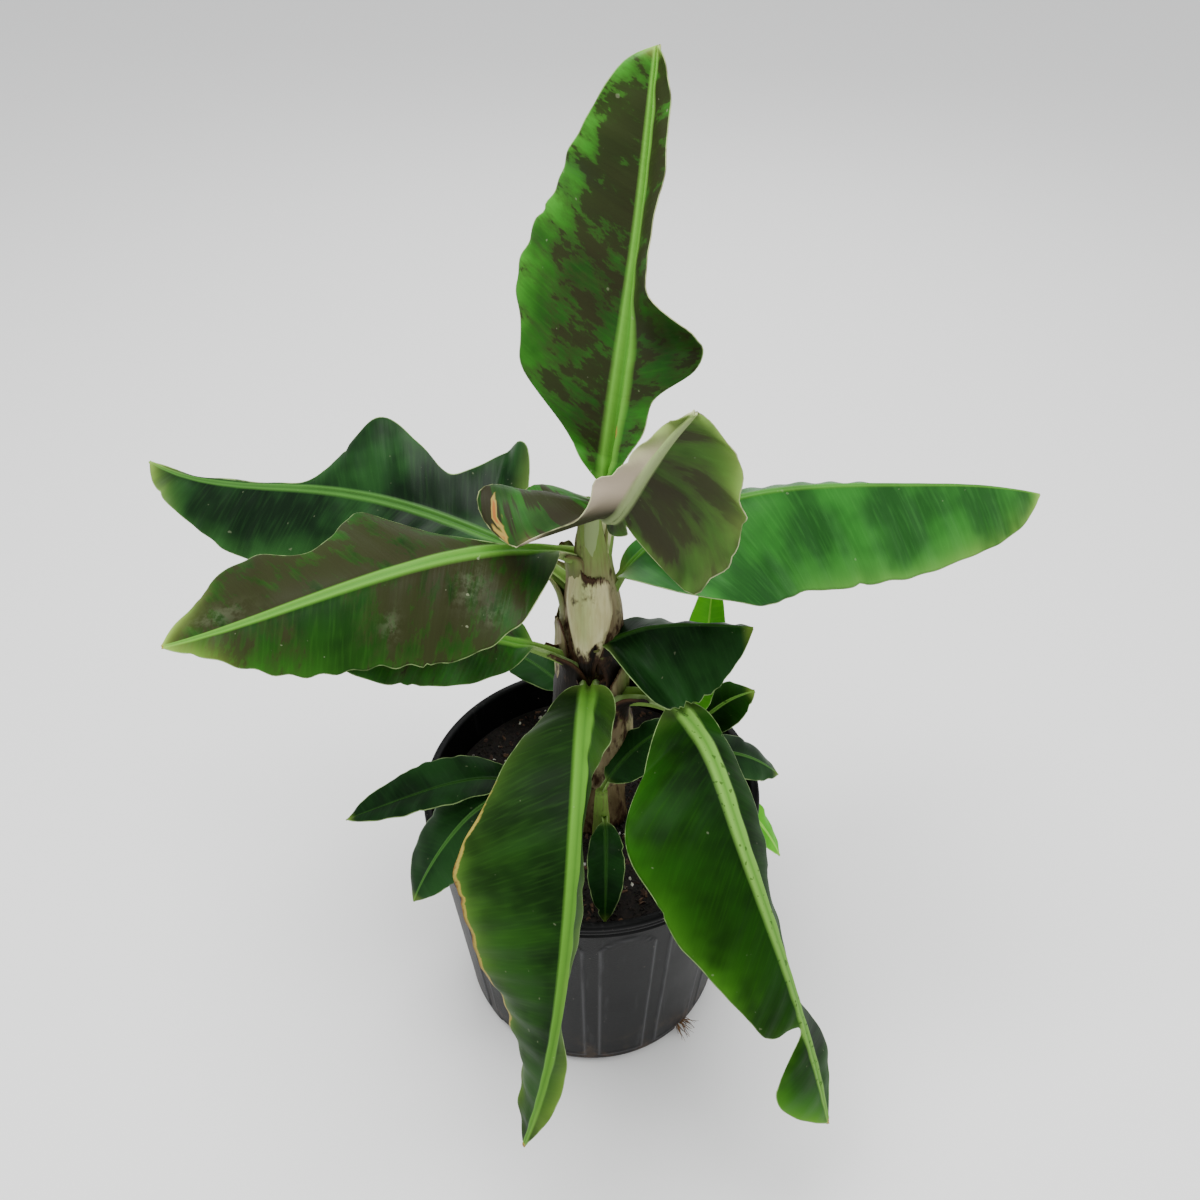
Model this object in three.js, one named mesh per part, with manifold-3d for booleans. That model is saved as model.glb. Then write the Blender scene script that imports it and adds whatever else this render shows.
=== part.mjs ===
// Young banana plant in a round nursery pot.
// Millimetres, +Z up, origin at the centre of the pot's flat underside.
// Headings are turned anticlockwise from +X, seen from above; -Y is the front.
import * as THREE from 'three';
import { mergeVertices } from 'three/addons/utils/BufferGeometryUtils.js';
import Module from 'manifold-3d';

const wasm = await Module();
wasm.setup();

// Driving dimensions
const potHeight = 250;
const rimRadius = 140;
const baseRadius = 113;
const potWall = 2.4;
const potFloor = 3;
const lipHeight = 14;
const lipOverhang = 4.5;
const panelCount = 14;
const panelAngle = 20;
const panelRelief = 0.9;
const panelBottom = 15;
const panelTop = 222;
const drainCount = 4;
const drainRadius = 7;
const drainHeight = 9;
const soilLevel = 216;
const soilDome = 5;
const stemBottom = 221;
const stemHeight = 284;
const stemRadii = [30, 27, 24.5, 22.5, 20.5, 17, 11];
const stemLean = [1, 2];
const clearance = 0.3;
const cutGrowth = 0.5;
const facetDepth = 0.5;
const leafThinness = 95;
const veinSweep = 12;

// Each leaf: its petiole (stalk) starts inside the stem at root and runs on as the midrib.
// pitch and heading are the midrib's direction at even steps from root to tip, in degrees.
// width is the half blade's width, left then right as the leaf looks from its root, and
// leftShape / rightShape scale it at even steps along the blade. leftFold / rightFold are
// how far each half stands above (+) or hangs below (-) the flat. leftSweep / rightSweep are how
// far its veins lean towards the tip, where that isn't veinSweep.
const mainLeaves = [
  {
    name: 'leafUpright', color: '#33652a', root: [4, 2, 480], stalk: 70, blade: 275, stalkRadius: 8,
    pitch: [80, 82, 80, 77, 75, 72, 66], heading: [20, 40, 51, 58, 66, 77, 80],
    width: [78, 60], widest: 0.4, baseRound: 2.2, tipTaper: 2.2,
    leftShape: [0.4, 0.65, 1.02, 1.05, 1.13, 1.08, 0.99, 0.9, 0.89, 0.97, 1.35],
    rightShape: [0.5, 0.45, 0.55, 0.5, 0.88, 1, 0.78, 0.7, 0.65, 0.7, 0.6, 0.8, 1.3],
    leftFold: [35, 20, 5, -5, -10, 0, 10], rightFold: [35, 22, 8, 8, 55, 63, 58, 50, 50],
  },
  {
    name: 'leafCrumpled', color: '#4d5a3a', root: [0, -8, 494], stalk: 66, blade: 160, stalkRadius: 8,
    pitch: [84, 84, 72, 5, 48, 62, 63, 60, 56], heading: [-75, -75, -75, -75, -62, -48, -36, -30, -26],
    width: [74, 60], widest: 0.45, baseRound: 5, tipTaper: 2.2,
    leftShape: [0.25, 0.25, 0.25, 0.22, 0.2, 0.2, 0.95, 1, 1, 1.03, 1.03, 1, 1.05, 1.15, 1.3],
    rightShape: [0.9, 1.25, 1.45, 1.2, 0.7, 0.45, 0.4, 0.27, 0.25, 0.27, 0.3, 0.4],
    leftFold: [-60, -70, -75, -72, -66, -60], rightFold: [2, 4, 12, 60, 110, 90],
    leftSweep: [-25, -24, -14, 0, 8], rightSweep: [-40, -36, -22, 0, 12, 12, 12],
  },
  {
    name: 'leafRight', color: '#3f8038', root: [0, -4, 405], stalk: 75, blade: 325, stalkRadius: 8,
    pitch: [78, 66, 34, 5, -5, -5, -14], heading: [12, 12, 10, 8, 8, 5, 0],
    width: [70, 78], widest: 0.34, baseRound: 3, tipTaper: 1.5,
    leftShape: [0.3, 0.4, 0.7, 0.9, 1, 1, 1, 1, 1],
    rightShape: [0.8, 0.98, 1.08, 1.02, 0.98, 1.07, 1.15, 1.3, 1.45, 1.85, 2.6],
    leftFold: [0, -20, -38, -38, -40, -45, -45, -45], rightFold: [10, -35, -50, -50, -50, -40],
  },
  {
    name: 'leafLeftBack', color: '#2a5526', root: [-8, 5, 456], stalk: 56, blade: 330, stalkRadius: 8,
    pitch: [34, 12, 6, -4, -10, -5, 4], heading: [150, 155, 158, 160, 162, 160, 145],
    width: [62, 70], widest: 0.42, baseRound: 5, tipTaper: 1.9,
    leftShape: [1, 1, 1, 1, 1, 1.05, 1.12, 1.05, 1, 1],
    rightShape: [2.4, 1.15, 0.52, 0.72, 0.91, 0.44, 0.1, 0.08, 0.08, 0.1, 0.2, 0.3],
    leftFold: [0, -30, -45, -45, -40, -20], rightFold: [20, 35, 40, 40, 10, 0, 10],
  },
  {
    name: 'leafLeftFront', color: '#3c5a2c', root: [-10, -6, 500], stalk: 18, blade: 268, stalkRadius: 8,
    pitch: [35, 17, 4, -5, -9, -12, -10], heading: [-160, -157, -156, -158, -160, -165, -170],
    width: [52, 62], widest: 0.42, baseRound: 2.4, tipTaper: 2.4,
    leftShape: [1.7, 1.65, 1.5, 1.38, 1.24, 1.1, 1.05, 1, 0.85, 0.65, 0.6],
    rightShape: [0.1, 0.1, 0.2, 0.65, 1.15, 0.82, 0.68, 1.05, 1.25, 1.25, 1.6],
    leftFold: [-10, -35, -45, -45, -40, -20], rightFold: [10, 5, 0, 10, 5, 0],
  },
  {
    name: 'leafLeftLow', color: '#2f6526', root: [-6, -14, 400], stalk: 50, blade: 165, stalkRadius: 7,
    pitch: [45, 34, 22, 12, 4], heading: [-165, -163, -163, -166, -170],
    width: [40, 50], widest: 0.45, baseRound: 2.4, tipTaper: 2.4,
    leftFold: [-10, -30, -35, -35, -20], rightFold: [0, 0],
  },
  {
    name: 'leafFront', color: '#2b5a27', root: [-1, -18, 385], stalk: 25, blade: 412, stalkRadius: 9,
    pitch: [45, 20, -15, -52, -68, -74, -75], heading: [-91, -92, -93, -98, -111, -136, -158],
    width: [45, 80], widest: 0.38, baseRound: 2.4, tipTaper: 1.3,
    leftShape: [1, 0.8, 0.5, 0.4, 0.5, 0.5, 0.25, 0.3, 0.8, 0.9, 0.8],
    rightShape: [0.4, 0.6, 0.7, 0.88, 1.08, 1.08, 1.1, 1.15, 1.3, 1.6, 2],
    leftFold: [-20, -60, -80, -80, -70, -30], rightFold: [-20, -10, -15, -15, -20, -10],
  },
  {
    name: 'leafFrontRight', color: '#2f6526', root: [8, -12, 362], stalk: 70, blade: 394, stalkRadius: 9,
    pitch: [32, 16, -20, -52, -67, -73, -76], heading: [-10, -57, -73, -57, -41, -31, -26],
    width: [34, 76], widest: 0.36, baseRound: 2.4, tipTaper: 1.2,
    leftShape: [1, 1, 1, 1, 0.9, 0.7, 0.5, 0.6, 1.2, 1.8, 1.6, 1.2],
    rightShape: [0.6, 1, 1.2, 1.18, 1.02, 0.95, 0.87, 0.8, 0.74, 0.62, 0.08, 1.15, 1.5, 1.5, 1.2],
    leftFold: [-20, -40, -45, -45, -40, 0, 0], rightFold: [-20, -10, -15, -15, -20, -10],
    rightSweep: [12, 20, 28, 28, 20, 5, 5],
  },
  {
    name: 'leafSmallRight', color: '#1f4f1c', root: [2, -18, 423], stalk: 8, blade: 112, stalkRadius: 6,
    pitch: [28, 25, 10, 4, 0], heading: [15, 2, -6, -8, -8],
    width: [25, 66], widest: 0.35, baseRound: 5, tipTaper: 2, rightShape: [1, 1, 0.92, 0.95, 0.95, 1],
    leftFold: [0, -35, -40, -40], rightFold: [-10, -45, -50, -45],
  },
];

// Suckers (young side shoots) round the foot: a short stem each, and the leaves it carries.
const suckers = [
  {
    name: 'suckerLeft', foot: [-48, -25], radius: 11, height: 76,
    leaves: [
      {
        name: 'suckerLeafLeft', color: '#1f4a22', root: [-48, -25, 266], stalk: 25, blade: 140,
        pitch: [70, 16, -12, -18, -20], heading: [190, 190],
        width: [24, 26], leftFold: [10, 10], rightFold: [10, 10],
      },
      {
        name: 'suckerLeafLowLeft', color: '#2f6526', root: [-50, -28, 270], stalk: 25, blade: 122,
        pitch: [60, 4, -32, -48, -60], heading: [215, 215, 218, 220, 225],
        width: [30, 34], leftFold: [-20, -20], rightFold: [-10, -10],
      },
    ],
  },
  {
    name: 'suckerFront', foot: [8, -44], radius: 8, height: 78,
    leaves: [
      {
        name: 'suckerLeafFront', color: '#1f4a22', root: [10, -46, 262], stalk: 20, blade: 84,
        pitch: [60, 10, -35, -60, -70], heading: [-85, -88, -90, -92, -95],
        width: [15, 15], leftFold: [-5, -5], rightFold: [-5, -5],
      },
      {
        name: 'suckerLeafShade', color: '#1f4a22', root: [8, -42, 288], stalk: 15, blade: 80,
        pitch: [70, 50, 30, 10], heading: [30, 25, 20, 20],
        width: [18, 22], leftFold: [0, 0], rightFold: [-20, -30],
      },
    ],
  },
  {
    name: 'suckerRight', foot: [74, 18], radius: 12, height: 80,
    leaves: [
      {
        name: 'suckerLeafBright', color: '#4fae14', root: [80, 20, 286], stalk: 20, blade: 130,
        pitch: [75, 74, 72, 68, 60], heading: [50, 60, 70, 80, 90],
        width: [20, 20], leftFold: [10, 10], rightFold: [30, 30],
      },
      {
        name: 'suckerLeafBack', color: '#3b7a33', root: [80, 24, 282], stalk: 12, blade: 60,
        pitch: [60, 50, 40, 20, 0], heading: [15, 15],
        width: [20, 22], leftFold: [10, 10], rightFold: [-20, -20],
      },
      {
        name: 'suckerLeafRight', color: '#2d6b33', root: [74, 8, 272], stalk: 15, blade: 80,
        pitch: [40, 12, -15, -38, -50], heading: [-6, -2, 0, 2, 4],
        width: [22, 22], leftFold: [0, -10], rightFold: [-10, -20],
      },
      {
        name: 'suckerLeafTip', color: '#4fae14', root: [70, 5, 254], stalk: 15, blade: 108,
        pitch: [30, 0, -30, -50, -64], heading: [-28, -28],
        width: [16, 16], leftFold: [0, -10], rightFold: [-10, -20],
      },
    ],
  },
  {
    name: 'suckerBack', foot: [-6, 66], radius: 11, height: 78,
    leaves: [
      {
        name: 'suckerLeafRear', color: '#2a5526', root: [-6, 67, 280], stalk: 20, blade: 135,
        pitch: [60, 25, -10, -35, -55], heading: [95, 95],
        width: [21, 21], leftFold: [-15, -15], rightFold: [-15, -15],
      },
      {
        name: 'suckerLeafRearRight', color: '#2f6526', root: [-4, 65, 284], stalk: 20, blade: 110,
        pitch: [55, 20, 0, -20, -30], heading: [40, 42],
        width: [20, 20], leftFold: [-10, -10], rightFold: [-10, -10],
      },
      {
        name: 'suckerLeafRearLeft', color: '#2a5526', root: [-8, 65, 272], stalk: 20, blade: 120,
        pitch: [50, 20, 0, -20, -35], heading: [145, 140],
        width: [20, 20], leftFold: [-10, -10], rightFold: [-10, -10],
      },
    ],
  },
];
const suckerLeafShape = { stalkRadius: 4, widest: 0.4, baseRound: 2.4, tipTaper: 1.9 };

// Places across each half blade where the solids have points, from margin to rib.
const mainAcross = [1, 0.6, 0.22, 0];
const suckerAcross = [1, 0.5, 0];

// Cut and dried sheaths that stand round the stem.
const sheaths = [
  { name: 'sheathFront', heading: -100, span: 140, bottom: 400, top: 488, thickness: 4, flare: 4, tear: 9 },
  { name: 'sheathLeft', heading: 178, span: 120, bottom: 350, top: 440, thickness: 3.5, flare: 6, tear: 14 },
  { name: 'sheathRight', heading: -20, span: 100, bottom: 345, top: 400, thickness: 3.5, flare: 7, tear: 10 },
];

const radians = THREE.MathUtils.degToRad;

// Smooth value at t (0 to 1) through evenly spaced keys.
function keyed(keys, t) {
  const last = keys.length - 1;
  const place = THREE.MathUtils.clamp(t, 0, 1) * last;
  const i = Math.min(Math.floor(place), last - 1);
  const f = place - i;
  const b = keys[i];
  const c = keys[i + 1];
  const a = i > 0 ? keys[i - 1] : 2 * b - c;
  const d = i < last - 1 ? keys[i + 2] : 2 * c - b;
  const bend = (2 * a - 5 * b + 4 * c - d) * f * f;
  return 0.5 * (2 * b + (c - a) * f + bend + (3 * b - a - 3 * c + d) * f ** 3);
}

// Closed geometry from points and triangles, each point kept once.
function meshOf(points, triangles) {
  const geometry = new THREE.BufferGeometry();
  geometry.setAttribute('position', new THREE.Float32BufferAttribute(points.flat(), 3));
  geometry.setIndex(triangles.flat());
  return geometry;
}

// Manifold solid of a closed three.js geometry, and back.
function toSolid(geometry) {
  const bare = geometry.clone();
  bare.deleteAttribute('normal');
  bare.deleteAttribute('uv');
  const merged = mergeVertices(bare, 1e-4);
  const vertProperties = new Float32Array(merged.attributes.position.array);
  const triVerts = new Uint32Array(merged.index.array);
  return new wasm.Manifold(new wasm.Mesh({ numProp: 3, vertProperties, triVerts }));
}

function toGeometry(solid) {
  const mesh = solid.getMesh();
  const geometry = new THREE.BufferGeometry();
  geometry.setAttribute('position', new THREE.BufferAttribute(new Float32Array(mesh.vertProperties), 3));
  geometry.setIndex(new THREE.BufferAttribute(new Uint32Array(mesh.triVerts), 1));
  geometry.computeVertexNormals();
  return geometry;
}

// Skin between equal rings; each end is closed by a fan (round) or by facing pairs (thin).
function loft(rings, thinEnds) {
  const size = rings[0].length;
  const points = rings.flat();
  const triangles = [];
  for (let row = 0; row < rings.length - 1; row++) {
    for (let i = 0; i < size; i++) {
      const j = (i + 1) % size;
      const low = row * size;
      const high = low + size;
      triangles.push([low + i, low + j, high + j], [low + i, high + j, high + i]);
    }
  }
  for (const end of [0, rings.length - 1]) {
    const first = end * size;
    const flip = end === 0;
    const faces = [];
    if (thinEnds) {
      for (let i = 0; i < size / 2 - 1; i++) {
        const facing = size - 1 - i;
        faces.push([first + i, first + i + 1, first + facing - 1]);
        faces.push([first + i, first + facing - 1, first + facing]);
      }
    } else {
      for (let i = 1; i < size - 1; i++) {
        faces.push([first, first + i, first + i + 1]);
      }
    }
    triangles.push(...(flip ? faces.map(([a, b, c]) => [a, c, b]) : faces));
  }
  return meshOf(points, triangles);
}

// Solid of revolution from a [radius, height] profile that starts and ends on the axis.
function revolve(profile, angles, relief = () => 0) {
  const inner = profile.slice(1, -1);
  const size = angles.length;
  const points = inner.flatMap(([radius, z]) => angles.map((angle) => {
    const r = radius + relief(angle, z, radius);
    return [r * Math.cos(angle), r * Math.sin(angle), z];
  }));
  const first = points.length;
  points.push([0, 0, profile[0][1]], [0, 0, profile.at(-1)[1]]);
  const triangles = [];
  for (let i = 0; i < size; i++) {
    const j = (i + 1) % size;
    for (let row = 0; row < inner.length - 1; row++) {
      const low = row * size;
      const high = low + size;
      triangles.push([low + i, low + j, high + j], [low + i, high + j, high + i]);
    }
    const top = (inner.length - 1) * size;
    triangles.push([first, j, i], [first + 1, top + i, top + j]);
  }
  return meshOf(points, triangles);
}

const wallRadius = (z) => baseRadius + (rimRadius - lipOverhang - baseRadius) * (z / potHeight);

// Raised panels with arched tops; the panel's side steps are half a degree wide.
function panelRise(angle, z, radius) {
  const outside = radius > wallRadius(z) - potWall / 2;
  const step = 360 / panelCount;
  const turn = THREE.MathUtils.radToDeg(angle);
  const off = Math.abs(turn - Math.round(turn / step) * step);
  const archTop = panelTop - 14 * (off / (panelAngle / 2)) ** 2;
  const inPanel = off < panelAngle / 2 - 0.2 && z > panelBottom && z < archTop;
  return outside && inPanel ? panelRelief : 0;
}

function potAngles() {
  const half = panelAngle / 2;
  const offsets = [-half, -half + 0.5, 0, half - 0.5, half];
  const angles = [];
  for (let panel = 0; panel < panelCount; panel++) {
    for (const offset of offsets) {
      angles.push(radians((360 / panelCount) * panel + offset));
    }
  }
  return angles;
}

// grow thickens the wall all over.
function potSolid(grow = 0) {
  const lipBottom = potHeight - lipHeight - grow;
  const lip = rimRadius + grow;
  const rim = potHeight + grow;
  const inside = (z) => wallRadius(z) - potWall - grow;
  const profile = [
    [0, 0],
    [baseRadius - 10, 0],
    [baseRadius - 3, 2.5],
    [wallRadius(9) + grow, 9],
    [wallRadius(panelBottom) + grow, panelBottom],
    [wallRadius(panelBottom + 1) + grow, panelBottom + 1],
    [wallRadius(panelTop - 16) + grow, panelTop - 16],
    [wallRadius(panelTop - 3) + grow, panelTop - 3],
    [wallRadius(panelTop) + grow, panelTop],
    [wallRadius(lipBottom) + grow, lipBottom],
    [lip - 0.8, lipBottom + 0.6],
    [lip, lipBottom + 2.5],
    [lip - 1.6, lipBottom + 4.5],
    [lip - 0.4, lipBottom + 6.5],
    [lip, rim - 2.5],
    [lip - 2, rim],
    [inside(potHeight) + 1.5, rim],
    [inside(potHeight), rim - 3],
    [inside(lipBottom - 6), lipBottom - 6],
    [inside(potFloor), potFloor + grow],
    [0, potFloor + grow],
  ];
  let pot = toSolid(revolve(profile, potAngles(), panelRise));
  for (let hole = 0; hole < drainCount; hole++) {
    const radius = drainRadius - grow;
    const drill = new THREE.CylinderGeometry(radius, radius, 24, 10);
    const heading = radians(-45 + (360 / drainCount) * hole);
    drill.rotateZ(Math.PI / 2);
    drill.translate(baseRadius - 4, 0, drainHeight);
    drill.rotateZ(heading);
    pot = pot.subtract(toSolid(drill));
  }
  return pot;
}

// Potting mix: fills the pot to a low dome.
function soilSolid(grow = 0) {
  const side = (z) => wallRadius(z) - potWall - clearance - facetDepth;
  const bottom = potFloor + clearance;
  const angles = Array.from({ length: 40 }, (_, i) => (i / 40) * 2 * Math.PI);
  const profile = [
    [0, bottom],
    [side(bottom), bottom],
    [side(soilLevel) + grow, soilLevel + grow],
    [side(soilLevel) * 0.6, soilLevel + soilDome * 0.7 + grow],
    [0, soilLevel + soilDome + grow],
  ];
  return toSolid(revolve(profile, angles));
}

const stemCentre = (t) => [stemLean[0] * t, stemLean[1] * t];

// Pseudostem: rolled sheaths, whose overlapping edges wind up the outside as low steps.
function stemSolid(grow = 0) {
  const sides = 20;
  const rows = 9;
  const rings = [];
  for (let row = 0; row <= rows; row++) {
    const t = row / rows;
    const [cx, cy] = stemCentre(t);
    const z = stemBottom + stemHeight * t + (row === 0 ? -grow : 0) + (row === rows ? grow : 0);
    const radius = keyed(stemRadii, t) + grow;
    rings.push(Array.from({ length: sides }, (_, i) => {
      const angle = (i / sides) * 2 * Math.PI;
      const wound = ((angle / Math.PI + 1.5 * t) % 1 + 1) % 1;
      const r = radius * (0.97 + 0.07 * wound);
      return [cx + r * Math.cos(angle), cy + r * Math.sin(angle), z];
    }));
  }
  return toSolid(loft(rings, false));
}

function suckerStemSolid(sucker, grow = 0) {
  const sides = 9;
  const [x, y] = sucker.foot;
  const bottom = soilLevel - 2;
  const rings = [0, 0.35, 0.8, 1].map((t) => {
    const radius = sucker.radius * keyed([1, 0.85, 0.6], t) + grow;
    const z = bottom + (sucker.height + 2) * t + (t === 1 ? grow : 0);
    return Array.from({ length: sides }, (_, i) => {
      const angle = (i / sides) * 2 * Math.PI;
      return [x + radius * Math.cos(angle), y + radius * Math.sin(angle), z];
    });
  });
  return toSolid(loft(rings, false));
}

// Sheath: a curved wall that hugs the stem, wider at its foot, its top edge torn.
function sheathSolid(sheath, grow = 0) {
  const rows = 5;
  const columns = 9;
  const rings = [];
  for (let row = 0; row <= rows; row++) {
    const t = row / rows;
    const ends = { 0: -grow, [rows]: grow };
    const outer = [];
    const inner = [];
    for (let column = 0; column <= columns; column++) {
      const u = column / columns;
      const spread = sheath.span * (1 - 0.35 * t) + 2 * grow;
      const angle = radians(sheath.heading + spread * (u - 0.5));
      const torn = sheath.tear * (0.5 * Math.sin(9 * u + sheath.span) - 2 * (u - 0.5) ** 2);
      const z = sheath.bottom + (sheath.top - sheath.bottom + torn) * t + (ends[row] ?? 0);
      const along = (z - stemBottom) / stemHeight;
      const [cx, cy] = stemCentre(along);
      const hug = keyed(stemRadii, along) * 1.04 + clearance + sheath.flare * t * t;
      const thickness = sheath.thickness * (0.5 + Math.sin(Math.PI * u) / 2);
      const direction = [Math.cos(angle), Math.sin(angle)];
      const at = (r) => [cx + r * direction[0], cy + r * direction[1], z];
      outer.push(at(hug + thickness + grow));
      inner.push(at(hug - grow));
    }
    rings.push([...outer, ...inner.reverse()]);
  }
  return toSolid(loft(rings, true));
}

// Midrib frames at fine even steps: position, forward, left and up of the leaf.
function midribFrames(leaf, steps = 240) {
  const length = leaf.stalk + leaf.blade;
  const frames = [];
  const point = new THREE.Vector3(...leaf.root);
  let before = null;
  for (let i = 0; i <= steps; i++) {
    const t = i / steps;
    const pitch = radians(keyed(leaf.pitch, t));
    const heading = radians(keyed(leaf.heading, t));
    const forward = new THREE.Vector3(
      Math.cos(pitch) * Math.cos(heading),
      Math.cos(pitch) * Math.sin(heading),
      Math.sin(pitch),
    );
    if (before) {
      point.addScaledVector(before.clone().add(forward), length / steps / 2);
    }
    const left = new THREE.Vector3(-Math.sin(heading), Math.cos(heading), 0);
    const up = forward.clone().cross(left);
    frames.push({ point: point.clone(), forward, left, up });
    before = forward;
  }
  return frames;
}

// Half width of a banana blade at t (0 to 1), as a share of its widest.
function bladeOutline(leaf, t) {
  const { widest, baseRound, tipTaper } = leaf;
  if (t < widest) {
    return (1 - ((widest - t) / widest) ** baseRound) ** (1 / 1.8);
  }
  return (1 - Math.min(1, (t - widest) / (1 - widest)) ** tipTaper) ** (1 / 1.15);
}

// Point on the leaf's middle surface: side is +1 left or -1 right, across is 0 at the rib.
function leafPoint(leaf, frame, t, side, across, width) {
  const folds = side > 0 ? leaf.leftFold : leaf.rightFold;
  const channel = 45 * THREE.MathUtils.clamp(1 - 12 * t, 0, 1);
  const opened = THREE.MathUtils.clamp(t < 0 ? 0.4 * (1 + 8 * t) : 0.4 + 10 * t, 0, 1);
  const fold = radians(keyed(folds, t) * opened + channel);
  const sweeps = (side > 0 ? leaf.leftSweep : leaf.rightSweep) ?? [veinSweep, veinSweep];
  const sweep = radians(t > 0 ? keyed(sweeps, t) : 0);
  const out = frame.left.clone().multiplyScalar(side * Math.cos(fold));
  out.addScaledVector(frame.up, Math.sin(fold));
  out.multiplyScalar(Math.cos(sweep));
  out.addScaledVector(frame.forward, Math.sin(sweep));
  return frame.point.clone().addScaledVector(out, across * width);
}

// Leaf: petiole and blade as one thin lofted solid with a keel under its midrib.
function leafSolid(leaf, stations, across, grow = 0) {
  const length = leaf.stalk + leaf.blade;
  const frames = midribFrames(leaf);
  const half = length / leafThinness / 2 + grow;
  const stalkShares = [0, 0.35, 0.7, 0.95].filter((share) => share * leaf.stalk < length);
  const places = stalkShares.map((share) => share * leaf.stalk);
  for (let i = 0; i <= stations; i++) {
    const even = i / stations;
    const t = 0.7 * even + 0.3 * (0.5 - 0.5 * Math.cos(Math.PI * even));
    places.push(leaf.stalk + leaf.blade * t);
  }
  const rows = places.map((place) => {
    const frame = frames[Math.round((place / length) * (frames.length - 1))];
    const t = (place - leaf.stalk) / leaf.blade;
    const petiole = leaf.stalkRadius * (1 - 0.35 * THREE.MathUtils.clamp(place / leaf.stalk, 0, 1));
    const taper = THREE.MathUtils.clamp(1 - t, 0, 1);
    const least = Math.max(petiole * (t > 0 ? taper : 1), 2.4) + grow;
    const shape = t > 0 ? bladeOutline(leaf, t) : 0;
    const leftWidth = shape * leaf.width[0] * (leaf.leftShape ? keyed(leaf.leftShape, t) : 1);
    const rightWidth = shape * leaf.width[1] * (leaf.rightShape ? keyed(leaf.rightShape, t) : 1);
    const left = across.map((u) => leafPoint(leaf, frame, t, 1, u, Math.max(leftWidth + grow, least)));
    const right = across.slice(0, -1).map((u) => (
      leafPoint(leaf, frame, t, -1, u, Math.max(rightWidth + grow, least))
    ));
    const keel = (t < 0 ? petiole : petiole * taper) * 0.75 + grow;
    return { points: [...left, ...right.reverse()], frame, keel };
  });
  const rings = rows.map(({ points, frame, keel }, row) => {
    const ahead = rows[Math.min(row + 1, rows.length - 1)].points;
    const behind = rows[Math.max(row - 1, 0)].points;
    const top = [];
    const bottom = [];
    points.forEach((point, i) => {
      const along = ahead[i].clone().sub(behind[i]);
      const next = points[Math.min(i + 1, points.length - 1)];
      const over = points[Math.max(i - 1, 0)].clone().sub(next);
      const normal = along.cross(over).normalize();
      if (normal.lengthSq() < 0.5) {
        normal.copy(frame.up);
      }
      const middle = i === across.length - 1;
      const under = middle ? Math.max(half, keel) : half;
      top.push(point.clone().addScaledVector(normal, half).toArray());
      bottom.push(point.clone().addScaledVector(normal, -under).toArray());
    });
    return [...top, ...bottom.reverse()];
  });
  return toSolid(loft(rings, true));
}

// Root ends that have grown out through the front right drain hole.
function rootTuftSolid() {
  const heading = radians(-45);
  const start = wallRadius(drainHeight) - potWall;
  const strands = [[0, 22, 0.5], [12, 18, 0.2], [-16, 19, 0.05]];
  let tuft = null;
  for (const [turn, reach, rise] of strands) {
    const rings = [0, 0.4, 0.75, 1].map((t) => {
      const radius = 0.7 + (drainRadius - 1.4) * (1 - t) ** 3;
      const out = start + reach * t;
      const z = drainHeight + reach * rise * t - 7 * t * t;
      const side = Math.sin(radians(turn)) * reach * t * 2;
      return Array.from({ length: 6 }, (_, i) => {
        const angle = (i / 6) * 2 * Math.PI;
        const y = side + radius * Math.cos(angle);
        const up = z + radius * Math.sin(angle);
        const x = out * Math.cos(heading) - y * Math.sin(heading);
        return [x, out * Math.sin(heading) + y * Math.cos(heading), up];
      });
    });
    const strand = toSolid(loft(rings, false));
    tuft = tuft ? tuft.add(strand) : strand;
  }
  return tuft;
}

const plant = new THREE.Group();
const placed = [];

function boxesMeet(a, b) {
  const first = a.boundingBox();
  const second = b.boundingBox();
  return [0, 1, 2].every((axis) => first.min[axis] < second.max[axis] && second.min[axis] < first.max[axis]);
}

// Adds one solid, cut clear of all those before it; grown is what later ones are cut by.
function place(name, solid, grown, material) {
  let left = solid;
  for (const other of placed) {
    if (boxesMeet(left, other)) {
      left = left.subtract(other);
    }
  }
  const pieces = left.decompose().sort((a, b) => b.volume() - a.volume());
  const mesh = new THREE.Mesh(toGeometry(pieces[0]), material);
  mesh.name = name;
  plant.add(mesh);
  placed.push(grown);
}

const leafMaterial = (color) => new THREE.MeshStandardMaterial({ color, roughness: 0.5, metalness: 0 });
const plasticMaterial = new THREE.MeshStandardMaterial({ color: '#26282a', roughness: 0.6, metalness: 0 });
const soilMaterial = new THREE.MeshStandardMaterial({ color: '#2c211b', roughness: 1, metalness: 0 });
const stemMaterial = new THREE.MeshStandardMaterial({ color: '#8f7f5e', roughness: 0.7, metalness: 0 });
const sheathMaterial = new THREE.MeshStandardMaterial({ color: '#b9a98c', roughness: 0.7, metalness: 0 });
const rootMaterial = new THREE.MeshStandardMaterial({ color: '#6b5038', roughness: 0.9, metalness: 0 });

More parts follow.
